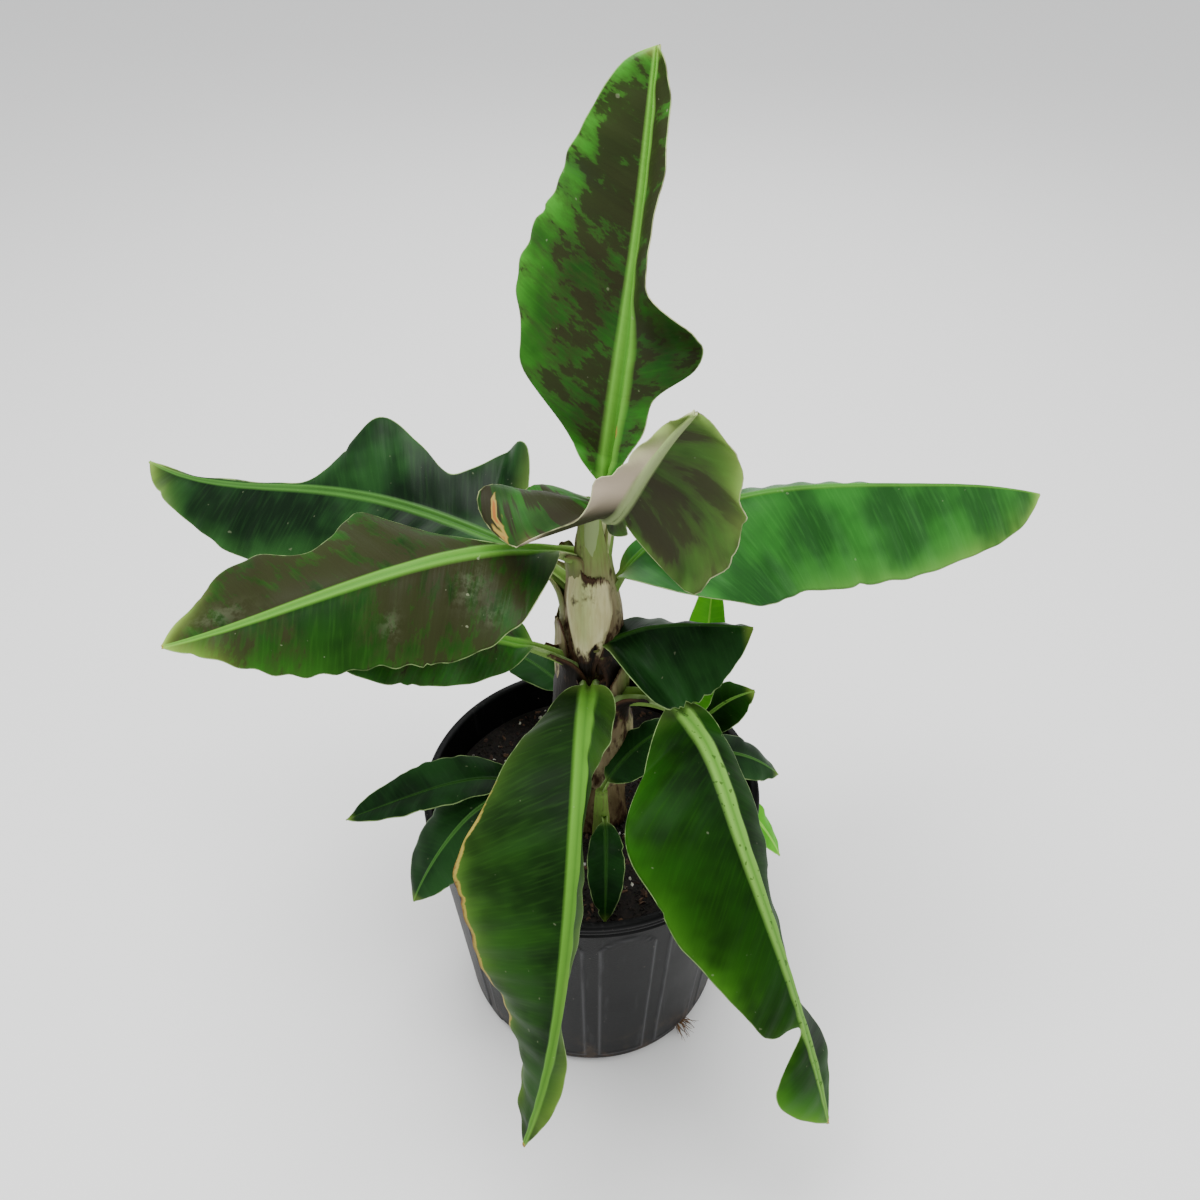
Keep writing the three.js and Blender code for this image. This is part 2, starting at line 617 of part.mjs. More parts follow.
place('pot', potSolid(), potSolid(cutGrowth), plasticMaterial);
place('soil', soilSolid(), soilSolid(clearance), soilMaterial);
place('pseudostem', stemSolid(), stemSolid(cutGrowth), stemMaterial);
for (const sheath of sheaths) {
  place(sheath.name, sheathSolid(sheath), sheathSolid(sheath, cutGrowth), sheathMaterial);
}
for (const leaf of mainLeaves) {
  const grown = leafSolid(leaf, 14, mainAcross, cutGrowth);
  place(leaf.name, leafSolid(leaf, 14, mainAcross), grown, leafMaterial(leaf.color));
}
for (const sucker of suckers) {
  place(`${sucker.name}Stem`, suckerStemSolid(sucker), suckerStemSolid(sucker, cutGrowth), stemMaterial);
  for (const own of sucker.leaves) {
    const leaf = { ...suckerLeafShape, ...own };
    const grown = leafSolid(leaf, 7, suckerAcross, cutGrowth);
    place(leaf.name, leafSolid(leaf, 7, suckerAcross), grown, leafMaterial(leaf.color));
  }
}
place('rootTuft', rootTuftSolid(), rootTuftSolid(), rootMaterial);

export default plant;
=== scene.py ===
import math
import random

import bmesh
import bpy
import numpy as np
from mathutils import Matrix, Vector


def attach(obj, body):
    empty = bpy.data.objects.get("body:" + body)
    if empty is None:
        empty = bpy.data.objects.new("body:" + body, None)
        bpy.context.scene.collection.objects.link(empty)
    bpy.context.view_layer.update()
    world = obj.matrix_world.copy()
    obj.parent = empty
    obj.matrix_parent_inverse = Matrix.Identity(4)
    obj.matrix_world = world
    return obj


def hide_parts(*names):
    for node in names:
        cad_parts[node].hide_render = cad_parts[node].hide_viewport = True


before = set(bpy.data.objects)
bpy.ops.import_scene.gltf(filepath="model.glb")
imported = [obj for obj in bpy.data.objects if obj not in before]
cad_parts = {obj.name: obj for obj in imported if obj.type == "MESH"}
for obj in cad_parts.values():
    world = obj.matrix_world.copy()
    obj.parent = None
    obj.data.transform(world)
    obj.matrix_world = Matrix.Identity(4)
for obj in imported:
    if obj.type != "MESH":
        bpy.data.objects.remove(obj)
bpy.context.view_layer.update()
mm = 0.001
print("frame loaded")


# Tools shared by the pieces

def linear(hexColour):
    # sRGB hex to the linear colour that the shaders want
    values = [int(hexColour[i:i + 2], 16) / 255 for i in (1, 3, 5)]
    return [v / 12.92 if v <= 0.04045 else ((v + 0.055) / 1.055) ** 2.4 for v in values] + [1.0]


def keyed(keys, t):
    # smooth value at t (0 to 1) through evenly spaced keys, as in the part's source
    keys = np.asarray(keys if len(keys) > 1 else keys * 2, float)
    last = len(keys) - 1
    place = np.clip(t, 0, 1) * last
    i = np.minimum(place.astype(int), last - 1)
    f = place - i
    b = keys[i]
    c = keys[i + 1]
    a = np.where(i > 0, keys[np.maximum(i - 1, 0)], 2 * b - c)
    d = np.where(i < last - 1, keys[np.minimum(i + 2, last)], 2 * c - b)
    bend = (2 * a - 5 * b + 4 * c - d) * f ** 2
    return 0.5 * (2 * b + (c - a) * f + bend + (3 * b - a - 3 * c + d) * f ** 3)


def smooth(low, high, value):
    t = np.clip((value - low) / (high - low), 0, 1)
    return t * t * (3 - 2 * t)


def waves(seed, count, t, lowest=1.0, highest=6.0):
    # irregular wave of about unit height: a few sines of seeded pace and phase
    dice = random.Random(seed)
    total = 0 * t
    for _ in range(count):
        pace = dice.uniform(lowest, highest)
        phase = dice.uniform(0, 2 * math.pi)
        total = total + np.sin(2 * math.pi * pace * t + phase)
    return total / math.sqrt(count)


def placed(name, data):
    # an object for this mesh, lamp or camera, at the origin of the scene
    item = bpy.data.objects.new(name, data)
    bpy.context.scene.collection.objects.link(item)
    return item


def makePiece(name, points, faces, materials, faceMaterials=None):
    # smooth-shaded mesh from points in millimetres, its faces turned outwards
    mesh = bpy.data.meshes.new(name)
    mesh.from_pydata((np.asarray(points) * mm).tolist(), [], faces)
    for material in materials:
        mesh.materials.append(material)
    if faceMaterials is not None:
        mesh.polygons.foreach_set("material_index", faceMaterials)
    mesh.polygons.foreach_set("use_smooth", [True] * len(mesh.polygons))
    shape = bmesh.new()
    shape.from_mesh(mesh)
    bmesh.ops.recalc_face_normals(shape, faces=shape.faces)
    shape.to_mesh(mesh)
    shape.free()
    mesh.update()
    return placed(name, mesh)


def addAttribute(piece, name, values):
    data = piece.data.attributes.new(name, "FLOAT", "POINT")
    data.data.foreach_set("value", np.asarray(values, float).ravel())


def addUV(piece, along, across):
    # UV in metres: along runs down the midrib or round the piece, across away from it
    layer = piece.data.uv_layers.new(name="UVMap")
    corner = np.empty(len(piece.data.loops), int)
    piece.data.loops.foreach_get("vertex_index", corner)
    uv = np.stack([np.asarray(along).ravel()[corner], np.asarray(across).ravel()[corner]], 1) * mm
    layer.data.foreach_set("uv", uv.ravel())


def tellShell(piece, values, grid):
    # what the materials are told, the same on both faces of a shell over this grid
    for key, value in values.items():
        addAttribute(piece, key, np.concatenate([(value + 0 * grid).ravel()] * 2))


def gridFaces(rows, columns, offset=0, closed=False):
    faces = []
    for i in range(rows - 1):
        for j in range(columns if closed else columns - 1):
            k = (j + 1) % columns
            quad = [i * columns + j, i * columns + k, (i + 1) * columns + k, (i + 1) * columns + j]
            faces.append([offset + corner for corner in quad])
    return faces


def cappedFaces(rows, sides):
    # closed grid with a fan at each end, to the two points that follow the grid's own
    faces = gridFaces(rows, sides, closed=True)
    count = rows * sides
    for i in range(sides):
        j = (i + 1) % sides
        faces.append([count, i, j])
        faces.append([count + 1, count - sides + j, count - sides + i])
    return faces


def closedShell(name, top, bottom, materials):
    # thin closed wall between two grids of points (rows, columns, 3); materials: top, bottom
    rows, columns = top.shape[:2]
    count = rows * columns
    faces = gridFaces(rows, columns) + gridFaces(rows, columns, count)
    lower = (rows - 1) * (columns - 1)
    for i in range(rows - 1):
        for a in (i * columns, i * columns + columns - 1):
            faces.append([a, a + columns, a + columns + count, a + count])
    for a in range(columns - 1):
        for b in (a, (rows - 1) * columns + a):
            faces.append([b, b + 1, b + 1 + count, b + count])
    faceMaterials = [0] * lower + [len(materials) - 1] * (len(faces) - lower)
    points = np.concatenate([top.reshape(-1, 3), bottom.reshape(-1, 3)])
    return makePiece(name, points, faces, materials, faceMaterials)


def turnedBody(name, profile, angles, materials, relief=None):
    # closed body of revolution: profile rows [radius, height] start and end on the axis
    radius, height = np.array(profile[1:-1], float).T
    spread = radius[:, None] + (relief(angles[None, :], height[:, None], radius[:, None]) if relief else 0)
    spread = spread + 0 * angles[None, :]
    level = height[:, None] + 0 * angles[None, :]
    points = np.stack([spread * np.cos(angles), spread * np.sin(angles), level], 2).reshape(-1, 3)
    points = np.vstack([points, [0, 0, profile[0][1]], [0, 0, profile[-1][1]]])
    return makePiece(name, points, cappedFaces(len(radius), len(angles)), materials)


def finishPiece(piece, slot, *nodes):
    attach(piece, "root")
    if nodes:
        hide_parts(*nodes)


# Tools for the materials and node trees

# what the nodes of a kind are set to, unless a call says otherwise
usualSettings = {
    "Math": {"operation": "MULTIPLY"},
    "MapRange": {"interpolation_type": "SMOOTHSTEP"},
    "Mix": {"data_type": "RGBA"},
    "FunctionNodeRandomValue": {"data_type": "FLOAT_VECTOR"},
}


def add(tree, kind, *values, take=None, **settings):
    # one node: its settings, then values, hex colours or links for its live inputs, in order
    node = tree.nodes.new(kind if "Node" in kind else "ShaderNode" + kind)
    for key, value in {**usualSettings.get(kind, {}), **settings}.items():
        setattr(node, key, value)
    for socket, value in zip([socket for socket in node.inputs if socket.enabled], values):
        if isinstance(value, bpy.types.NodeSocket):
            tree.links.new(value, socket)
        elif value is not None:
            isHex = isinstance(value, str) and value.startswith("#")
            socket.default_value = linear(value) if isHex else value
    return node.outputs[take] if take else next((socket for socket in node.outputs if socket.enabled), node)


def every(size):
    # noise scale for features about this many millimetres apart
    return 1 / (size * mm)


def newMaterial(name, roughness, gloss=0.5):
    material = bpy.data.materials.new(name)
    material.use_nodes = True
    shader = material.node_tree.nodes["Principled BSDF"]
    shader.inputs["Roughness"].default_value = roughness
    shader.inputs["Specular IOR Level"].default_value = gloss
    return material, material.node_tree, shader


def layered(tree, colour, coats):
    # coats over a colour, lowest first: the share that each one covers, and its colour
    for share, coat in coats:
        colour = add(tree, "Mix", share, colour, coat)
    return colour


def dress(tree, shader, colour, height, depth, strength=1.0):
    # colour and fine relief onto the shader, with the relief's depth in millimetres
    tree.links.new(colour, shader.inputs["Base Color"])
    tree.links.new(add(tree, "Bump", strength, depth * mm, None, height), shader.inputs["Normal"])


# Leaf materials

# sizes and spacings in millimetres
bladePattern = {"band": 33, "vein": 2.3, "pleat": 6, "strip": 1.6, "slip": 5, "flake": 13.3, "relief": 0.7}
# noises of the whole plant: size in millimetres, detail and roughness
bladeNoises = {
    "broad": [66, 3.0, 0.55], "film": [8, 4.0, 0.7], "freckle": [4.2, 1.0, 0.55], "rimBreak": [11, 2.0, 0.55],
    "spot": [4.8, 1.0, 0.55],
}
# masks read by the blade materials; one of them is the share of painted shade
bladeMasks = ["edge", "rib", "groove", "stalk", "blotch", "dry", "pale", "paintedShade", "glow", "bloom", "marks"]


def flakeNoise(tree, uv, stretch):
    # the strips between two veins slip against each other, which gives flakes their jagged ends
    along = add(tree, "SeparateXYZ", uv, take="X")
    across = add(tree, "SeparateXYZ", uv, take="Y")
    strip = add(tree, "Math", along, bladePattern["strip"] * mm, operation="DIVIDE")
    strip = add(tree, "Math", strip, operation="FLOOR")
    slip = add(tree, "TexWhiteNoise", strip, noise_dimensions="1D")
    outwards = add(tree, "Math", slip, bladePattern["slip"] * mm, across, operation="MULTIPLY_ADD")
    jagged = add(tree, "CombineXYZ", along, add(tree, "Math", outwards, stretch))
    return add(tree, "TexNoise", jagged, every(bladePattern["flake"]), 4.0, 0.62)


def flakeShares(tree, blotch, broad, flake, look):
    # soft haze of maroon round the flakes, and their dark cores
    level = add(tree, "Math", broad, 0.35, flake, operation="MULTIPLY_ADD")
    level = add(tree, "Math", blotch, 0.24, level, operation="MULTIPLY_ADD")
    present = add(tree, "MapRange", blotch, 0.02, 0.2)
    haze = add(tree, "MapRange", level, 0.62, 0.95, 0.0, look["haze"])
    core = add(tree, "MapRange", level, 0.83, 0.87, 0.0, look["core"])
    return add(tree, "Math", haze, present), add(tree, "Math", core, present)


def bladeMaterial(name, look):
    # living banana blade: broad soft tones, fine veins from the rib, maroon flakes that end at the veins
    material, tree, shader = newMaterial(name, look["roughness"], look["gloss"])
    told = {key: add(tree, "Attribute", take="Fac", attribute_name=key) for key in bladeMasks}
    uv = add(tree, "UVMap", uv_map="UVMap")
    place = add(tree, "TexCoord", take="Object")
    noise = {
        key: add(tree, "TexNoise", place, every(size), detail, roughness)
        for key, (size, detail, roughness) in bladeNoises.items()
    }
    band = add(tree, "Mapping", uv, None, None, (1.0, 0.25, 1.0))
    band = add(tree, "TexNoise", band, every(bladePattern["band"]), 3.0, 0.55)
    band = add(tree, "Math", band, 0.5, operation="SUBTRACT")
    tone = add(tree, "Math", band, look["bands"], noise["broad"], operation="MULTIPLY_ADD")
    alongVein = add(tree, "Mapping", uv, None, None, (1.0, 0.1, 1.0))
    veins = add(tree, "TexNoise", alongVein, every(bladePattern["vein"]), 2.0, 0.4)
    flake = flakeNoise(tree, uv, look["flakeStretch"])
    haze, core = flakeShares(tree, told["blotch"], noise["broad"], flake, look)
    ragged = add(tree, "Math", flake, 0.8, told["dry"], operation="MULTIPLY_ADD")
    ribColour = layered(tree, look["rib"], [
        (told["groove"], look["ribGroove"]),
        (add(tree, "MapRange", noise["freckle"], 0.66, 0.7, 0.0, look["freckles"]), "#2f4a1c"),
    ])
    film = add(tree, "MapRange", noise["film"], 0.42, 0.62, 0.0, 0.1)
    rim = add(tree, "MapRange", told["edge"], 0.2, 0.9, 1.0, 0.0)
    rim = add(tree, "Math", rim, add(tree, "MapRange", noise["rimBreak"], 0.35, 0.6, 0.2, 0.9))
    colour = layered(tree, look["dark"], [
        (add(tree, "MapRange", tone, 0.36, 0.64), look["light"]),
        # painted shade: the deepest green, laid where a leaf's base lies in shadow under the leaves above
        (told["paintedShade"], look["paintedShade"]),
        (add(tree, "Math", told["glow"], add(tree, "MapRange", tone, 0.2, 0.55)), look["fresh"]),
        (add(tree, "MapRange", veins, 0.45, 0.75, 0.0, look["veins"]), look["fresh"]),
        (haze, look["maroon"]),
        (core, look["maroonDark"]),
        (told["bloom"], look["bloom"]),
        (add(tree, "Math", told["marks"], film), "#8f9c7c"),
        (add(tree, "Math", told["rib"], look["ribShare"]), ribColour),
        (told["stalk"], look["petiole"]),
        (add(tree, "Math", told["pale"], add(tree, "MapRange", tone, 0.25, 0.6)), look["pale"]),
        (rim, look["rim"]),
        (add(tree, "MapRange", ragged, 0.7, 0.9), look["yellowed"]),
        (add(tree, "MapRange", ragged, 0.95, 1.2), look["dried"]),
        (add(tree, "MapRange", noise["spot"], 0.77, 0.8, 0.0, look["spots"]), "#a7ac8c"),
    ])
    pleat = add(tree, "TexNoise", alongVein, every(bladePattern["pleat"]), 2.0, 0.5)
    height = add(tree, "Math", veins, 0.3, pleat, operation="MULTIPLY_ADD")
    dress(tree, shader, colour, height, bladePattern["relief"], look["relief"])
    return material


greenBlade = {
    "roughness": 0.4, "gloss": 0.1, "relief": 0.6, "spots": 0.15, "haze": 0.75, "core": 0.6, "bands": 0.5,
    "veins": 0.14, "freckles": 0.0, "ribShare": 0.92, "flakeStretch": 0.62, "petiole": "#6c8c40",
    # colour of the painted shade
    "paintedShade": "#0a1a07",
    "dark": "#0b2208", "light": "#183e12", "fresh": "#32781c",
    "maroon": "#30311a", "maroonDark": "#241d13", "bloom": "#a39b84",
    "rib": "#68a63a", "ribGroove": "#4f8f2c", "rim": "#8ea86c", "pale": "#8fb04a",
    "yellowed": "#a08a3c", "dried": "#74502a",
}
leafGreen = bladeMaterial("glossyGreenBlade", {
    **greenBlade, "dark": "#041502", "light": "#0d2e05", "fresh": "#2f7010", "freckles": 0.7,
    "gloss": 0.04, "roughness": 0.5, "relief": 0.4, "rib": "#70a044", "ribGroove": "#52862f",
    "bands": 0.25, "veins": 0.06,
})
leafDark = bladeMaterial("darkGreenBlade", {
    **greenBlade, "dark": "#071909", "light": "#1a3d18", "fresh": "#38692e", "ribShare": 0.6,
    "rib": "#4f8436", "ribGroove": "#3f6f2c", "bands": 0.3, "veins": 0.08, "gloss": 0.08,
    "relief": 0.35,
})
leafHeavy = bladeMaterial("oliveGreenBlade", {
    **greenBlade, "dark": "#091d06", "light": "#1a3c0f", "fresh": "#3d6c24", "rib": "#588c2e",
    "ribGroove": "#467626", "bands": 0.25, "gloss": 0.04, "roughness": 0.5, "relief": 0.4, "veins": 0.1,
    "yellowed": "#9a8a40", "dried": "#7a5a2e",
})
leafBlotched = bladeMaterial("maroonFlakedBlade", {
    **greenBlade, "dark": "#0f330a", "light": "#1e5716", "fresh": "#3f8a26", "spots": 0.2,
    "bands": 0.25, "veins": 0.1,
})
leafOlive = bladeMaterial("oliveMaroonBlade", {
    **greenBlade, "dark": "#0a2206", "light": "#13380b", "fresh": "#33681f", "spots": 0.3, "bands": 0.3,
    "maroon": "#2d3018", "maroonDark": "#292417", "core": 0.5, "haze": 0.7, "gloss": 0.05,
    "rib": "#5c9234", "ribGroove": "#48802a",
})
leafLight = bladeMaterial("lightGreenBlade", {
    **greenBlade, "dark": "#134012", "light": "#25661f", "fresh": "#439038", "gloss": 0.12,
    "ribShare": 0.35, "bands": 0.5, "veins": 0.12, "petiole": "#83a04c",
})
leafShaded = bladeMaterial("shadedGreenBlade", {
    **greenBlade, "dark": "#081e08", "light": "#163a14", "fresh": "#284f24", "ribShare": 0.25,
    "rib": "#42702f", "gloss": 0.05,
})
leafYoung = bladeMaterial("freshYoungBlade", {
    **greenBlade, "dark": "#3f9412", "light": "#58b71c", "fresh": "#6fca2a", "rib": "#8fd04a",
    "ribGroove": "#7cc23c", "spots": 0.0, "rim": "#a7dc6c",
})
underside = bladeMaterial("paleUndersideBlade", {
    **greenBlade, "roughness": 0.6, "dark": "#304e24", "light": "#4d6c3a", "fresh": "#5f8446",
    "rib": "#7f9e5c", "ribGroove": "#7f9e5c", "maroon": "#474230", "maroonDark": "#3a3227",
    "relief": 1.0,
})
undersideBloom = bladeMaterial("bloomedUndersideBlade", {
    **greenBlade, "roughness": 0.65, "dark": "#434a30", "light": "#5f6746", "fresh": "#6f8a3e",
    "rib": "#a89e84", "ribGroove": "#a89e84", "maroon": "#463d31", "maroonDark": "#382e26",
    "relief": 1.0, "rim": "#bfc292", "bloom": "#a99b85",
})
crumpledUpper = bladeMaterial("witheredMaroonBlade", {
    **greenBlade, "dark": "#0f330a", "light": "#1f5a16", "fresh": "#3a7a28", "pale": "#97b04a",
    "rim": "#b4bc84", "core": 0.85, "haze": 0.35, "flakeStretch": 0.22, "relief": 0.9, "ribShare": 0.3,
    "rib": "#6d8444", "ribGroove": "#6d8444", "yellowed": "#8f7a3c", "dried": "#8f5a2a",
    "bloom": "#a98762",
})
crumpledUnder = bladeMaterial("curledMaroonBlade", {
    **greenBlade, "roughness": 0.55, "dark": "#1f2f10", "light": "#33501e", "fresh": "#4d7a30",
    "rim": "#b4b88c", "bloom": "#b3a48f", "bands": 0.9, "relief": 1.0, "yellowed": "#8f7a3c",
    "dried": "#8a5c30", "pale": "#82a04a", "rib": "#8a9a68", "ribGroove": "#8a9a68",
    "maroon": "#352f22", "maroonDark": "#2a241b", "core": 0.4, "haze": 0.8, "flakeStretch": 0.22,
    "petiole": "#8a9a68",
})


# Leaves: the same growth rule and sizes as the solids, drawn finer

mainLeaves = {
    "leafUpright": {
        "root": [4, 2, 480], "stalk": 70, "blade": 275, "stalkRadius": 8,
        "pitch": [80, 82, 80, 77, 75, 72, 66], "heading": [20, 40, 51, 58, 66, 77, 80],
        "width": [78, 60], "widest": 0.4, "baseRound": 2.2, "tipTaper": 2.2,
        "leftShape": [0.4, 0.65, 1.02, 1.05, 1.13, 1.08, 0.99, 0.9, 0.89, 0.97, 1.35],
        "rightShape": [0.5, 0.45, 0.55, 0.5, 0.88, 1, 0.78, 0.7, 0.65, 0.7, 0.6, 0.8, 1.3],
        "leftFold": [35, 20, 5, -5, -10, 0, 10], "rightFold": [35, 22, 8, 8, 55, 63, 58, 50, 50],
    },
    "leafCrumpled": {
        "root": [0, -8, 494], "stalk": 66, "blade": 160, "stalkRadius": 8,
        "pitch": [84, 84, 72, 5, 48, 62, 63, 60, 56],
        "heading": [-75, -75, -75, -75, -62, -48, -36, -30, -26],
        "width": [74, 60], "widest": 0.45, "baseRound": 5, "tipTaper": 2.2,
        "leftShape": [0.25, 0.25, 0.25, 0.22, 0.2, 0.2, 0.95, 1, 1, 1.03, 1.03, 1, 1.05, 1.15, 1.3],
        "rightShape": [0.9, 1.25, 1.45, 1.2, 0.7, 0.45, 0.4, 0.27, 0.25, 0.27, 0.3, 0.4],
        "leftFold": [-60, -70, -75, -72, -66, -60], "rightFold": [2, 4, 12, 60, 110, 90],
        "leftSweep": [-25, -24, -14, 0, 8], "rightSweep": [-40, -36, -22, 0, 12, 12, 12],
    },
    "leafRight": {
        "root": [0, -4, 405], "stalk": 75, "blade": 325, "stalkRadius": 8,
        "pitch": [78, 66, 34, 5, -5, -5, -14], "heading": [12, 12, 10, 8, 8, 5, 0],
        "width": [70, 78], "widest": 0.34, "baseRound": 3, "tipTaper": 1.5,
        "leftShape": [0.3, 0.4, 0.7, 0.9, 1, 1, 1, 1, 1],
        "rightShape": [0.8, 0.98, 1.08, 1.02, 0.98, 1.07, 1.15, 1.3, 1.45, 1.85, 2.6],
        "leftFold": [0, -20, -38, -38, -40, -45, -45, -45], "rightFold": [10, -35, -50, -50, -50, -40],
    },
    "leafLeftBack": {
        "root": [-8, 5, 456], "stalk": 56, "blade": 330, "stalkRadius": 8,
        "pitch": [34, 12, 6, -4, -10, -5, 4], "heading": [150, 155, 158, 160, 162, 160, 145],
        "width": [62, 70], "widest": 0.42, "baseRound": 5, "tipTaper": 1.9,
        "leftShape": [1, 1, 1, 1, 1, 1.05, 1.12, 1.05, 1, 1],
        "rightShape": [2.4, 1.15, 0.52, 0.72, 0.91, 0.44, 0.1, 0.08, 0.08, 0.1, 0.2, 0.3],
        "leftFold": [0, -30, -45, -45, -40, -20], "rightFold": [20, 35, 40, 40, 10, 0, 10],
    },
    "leafLeftFront": {
        "root": [-10, -6, 500], "stalk": 18, "blade": 268, "stalkRadius": 8,
        "pitch": [35, 17, 4, -5, -9, -12, -10],
        "heading": [-160, -157, -156, -158, -160, -165, -170],
        "width": [52, 62], "widest": 0.42, "baseRound": 2.4, "tipTaper": 2.4,
        "leftShape": [1.7, 1.65, 1.5, 1.38, 1.24, 1.1, 1.05, 1, 0.85, 0.65, 0.6],
        "rightShape": [0.1, 0.1, 0.2, 0.65, 1.15, 0.82, 0.68, 1.05, 1.25, 1.25, 1.6],
        "leftFold": [-10, -35, -45, -45, -40, -20], "rightFold": [10, 5, 0, 10, 5, 0],
    },
    "leafLeftLow": {
        "root": [-6, -14, 400], "stalk": 50, "blade": 165, "stalkRadius": 7,
        "pitch": [45, 34, 22, 12, 4], "heading": [-165, -163, -163, -166, -170],
        "width": [40, 50], "widest": 0.45, "baseRound": 2.4, "tipTaper": 2.4,
        "leftFold": [-10, -30, -35, -35, -20], "rightFold": [0, 0],
    },
    "leafFront": {
        "root": [-1, -18, 385], "stalk": 25, "blade": 412, "stalkRadius": 9,
        "pitch": [45, 20, -15, -52, -68, -74, -75],
        "heading": [-91, -92, -93, -98, -111, -136, -158],
        "width": [45, 80], "widest": 0.38, "baseRound": 2.4, "tipTaper": 1.3,
        "leftShape": [1, 0.8, 0.5, 0.4, 0.5, 0.5, 0.25, 0.3, 0.8, 0.9, 0.8],
        "rightShape": [0.4, 0.6, 0.7, 0.88, 1.08, 1.08, 1.1, 1.15, 1.3, 1.6, 2],
        "leftFold": [-20, -60, -80, -80, -70, -30], "rightFold": [-20, -10, -15, -15, -20, -10],
    },
    "leafFrontRight": {
        "root": [8, -12, 362], "stalk": 70, "blade": 394, "stalkRadius": 9,
        "pitch": [32, 16, -20, -52, -67, -73, -76], "heading": [-10, -57, -73, -57, -41, -31, -26],
        "width": [34, 76], "widest": 0.36, "baseRound": 2.4, "tipTaper": 1.2,
        "leftShape": [1, 1, 1, 1, 0.9, 0.7, 0.5, 0.6, 1.2, 1.8, 1.6, 1.2],
        "rightShape": [0.6, 1, 1.2, 1.18, 1.02, 0.95, 0.87, 0.8, 0.74, 0.62, 0.08, 1.15, 1.5, 1.5, 1.2],
        "leftFold": [-20, -40, -45, -45, -40, 0, 0], "rightFold": [-20, -10, -15, -15, -20, -10],
        "rightSweep": [12, 20, 28, 28, 20, 5, 5],
    },
    "leafSmallRight": {
        "root": [2, -18, 423], "stalk": 8, "blade": 112, "stalkRadius": 6,
        "pitch": [28, 25, 10, 4, 0], "heading": [15, 2, -6, -8, -8],
        "width": [25, 66], "widest": 0.35, "baseRound": 5, "tipTaper": 2,
        "rightShape": [1, 1, 0.92, 0.95, 0.95, 1],
        "leftFold": [0, -35, -40, -40], "rightFold": [-10, -45, -50, -45],
    },
}

suckerLeafShape = {"stalkRadius": 4, "widest": 0.4, "baseRound": 2.4, "tipTaper": 1.9}
suckerLeaves = {
    "suckerLeafLeft": {
        "root": [-48, -25, 266], "stalk": 25, "blade": 140,
        "pitch": [70, 16, -12, -18, -20], "heading": [190, 190],
        "width": [24, 26], "leftFold": [10, 10], "rightFold": [10, 10],
    },
    "suckerLeafLowLeft": {
        "root": [-50, -28, 270], "stalk": 25, "blade": 122,
        "pitch": [60, 4, -32, -48, -60], "heading": [215, 215, 218, 220, 225],
        "width": [30, 34], "leftFold": [-20, -20], "rightFold": [-10, -10],
    },
    "suckerLeafFront": {
        "root": [10, -46, 262], "stalk": 20, "blade": 84,
        "pitch": [60, 10, -35, -60, -70], "heading": [-85, -88, -90, -92, -95],
        "width": [15, 15], "leftFold": [-5, -5], "rightFold": [-5, -5],
    },
    "suckerLeafShade": {
        "root": [8, -42, 288], "stalk": 15, "blade": 80,
        "pitch": [70, 50, 30, 10], "heading": [30, 25, 20, 20],
        "width": [18, 22], "leftFold": [0, 0], "rightFold": [-20, -30],
    },
    "suckerLeafBright": {
        "root": [80, 20, 286], "stalk": 20, "blade": 130,
        "pitch": [75, 74, 72, 68, 60], "heading": [50, 60, 70, 80, 90],
        "width": [20, 20], "leftFold": [10, 10], "rightFold": [30, 30],
    },
    "suckerLeafBack": {
        "root": [80, 24, 282], "stalk": 12, "blade": 60,
        "pitch": [60, 50, 40, 20, 0], "heading": [15, 15],
        "width": [20, 22], "leftFold": [10, 10], "rightFold": [-20, -20],
    },
    "suckerLeafRight": {
        "root": [74, 8, 272], "stalk": 15, "blade": 80,
        "pitch": [40, 12, -15, -38, -50], "heading": [-6, -2, 0, 2, 4],
        "width": [22, 22], "leftFold": [0, -10], "rightFold": [-10, -20],
    },
    "suckerLeafTip": {
        "root": [70, 5, 254], "stalk": 15, "blade": 108,
        "pitch": [30, 0, -30, -50, -64], "heading": [-28, -28],
        "width": [16, 16], "leftFold": [0, -10], "rightFold": [-10, -20],
    },
    "suckerLeafRear": {
        "root": [-6, 67, 280], "stalk": 20, "blade": 135,
        "pitch": [60, 25, -10, -35, -55], "heading": [95, 95],
        "width": [21, 21], "leftFold": [-15, -15], "rightFold": [-15, -15],
    },
    "suckerLeafRearRight": {
        "root": [-4, 65, 284], "stalk": 20, "blade": 110,
        "pitch": [55, 20, 0, -20, -30], "heading": [40, 42],
        "width": [20, 20], "leftFold": [-10, -10], "rightFold": [-10, -10],
    },
    "suckerLeafRearLeft": {
        "root": [-8, 65, 272], "stalk": 20, "blade": 120,
        "pitch": [50, 20, 0, -20, -35], "heading": [145, 140],
        "width": [20, 20], "leftFold": [-10, -10], "rightFold": [-10, -10],
    },
}

# Looks by leaf. Pairs are left and right half; lists in a pair run from base to tip.
# blotch is the maroon share, the painted shade is the share of the deepest green laid where a leaf lies in
# shadow, and bloom of the waxy beige; glow, pale and dry are the brighter, yellow-green and browned share of
# a margin, and glowReach is in mm; band is how much of the blotch the outer third of a half lacks; ragged is
# the margin's wander as a percentage of the width; patches and marks are [t, mm from the rib, half length,
# half width]; bow is a half's arch in degrees
plainLook = {
    "material": leafDark, "under": underside, "blotch": [[0], [0]], "dry": [[0], [0]], "pale": [[0], [0]],
    "glow": [[0.15], [0.15]], "glowReach": 9, "ruffle": 1.0, "pleat": 0.4, "bow": [-24, -24],
    "ribWidth": 1.0, "bloom": [[0], [0]], "band": [0.3, 0.3], "paintedShade": [[0], [0]],
    "dryPatches": [], "bloomPatches": [], "marks": [], "tipDry": 0.8, "nicks": 2, "ragged": 1.2,
}
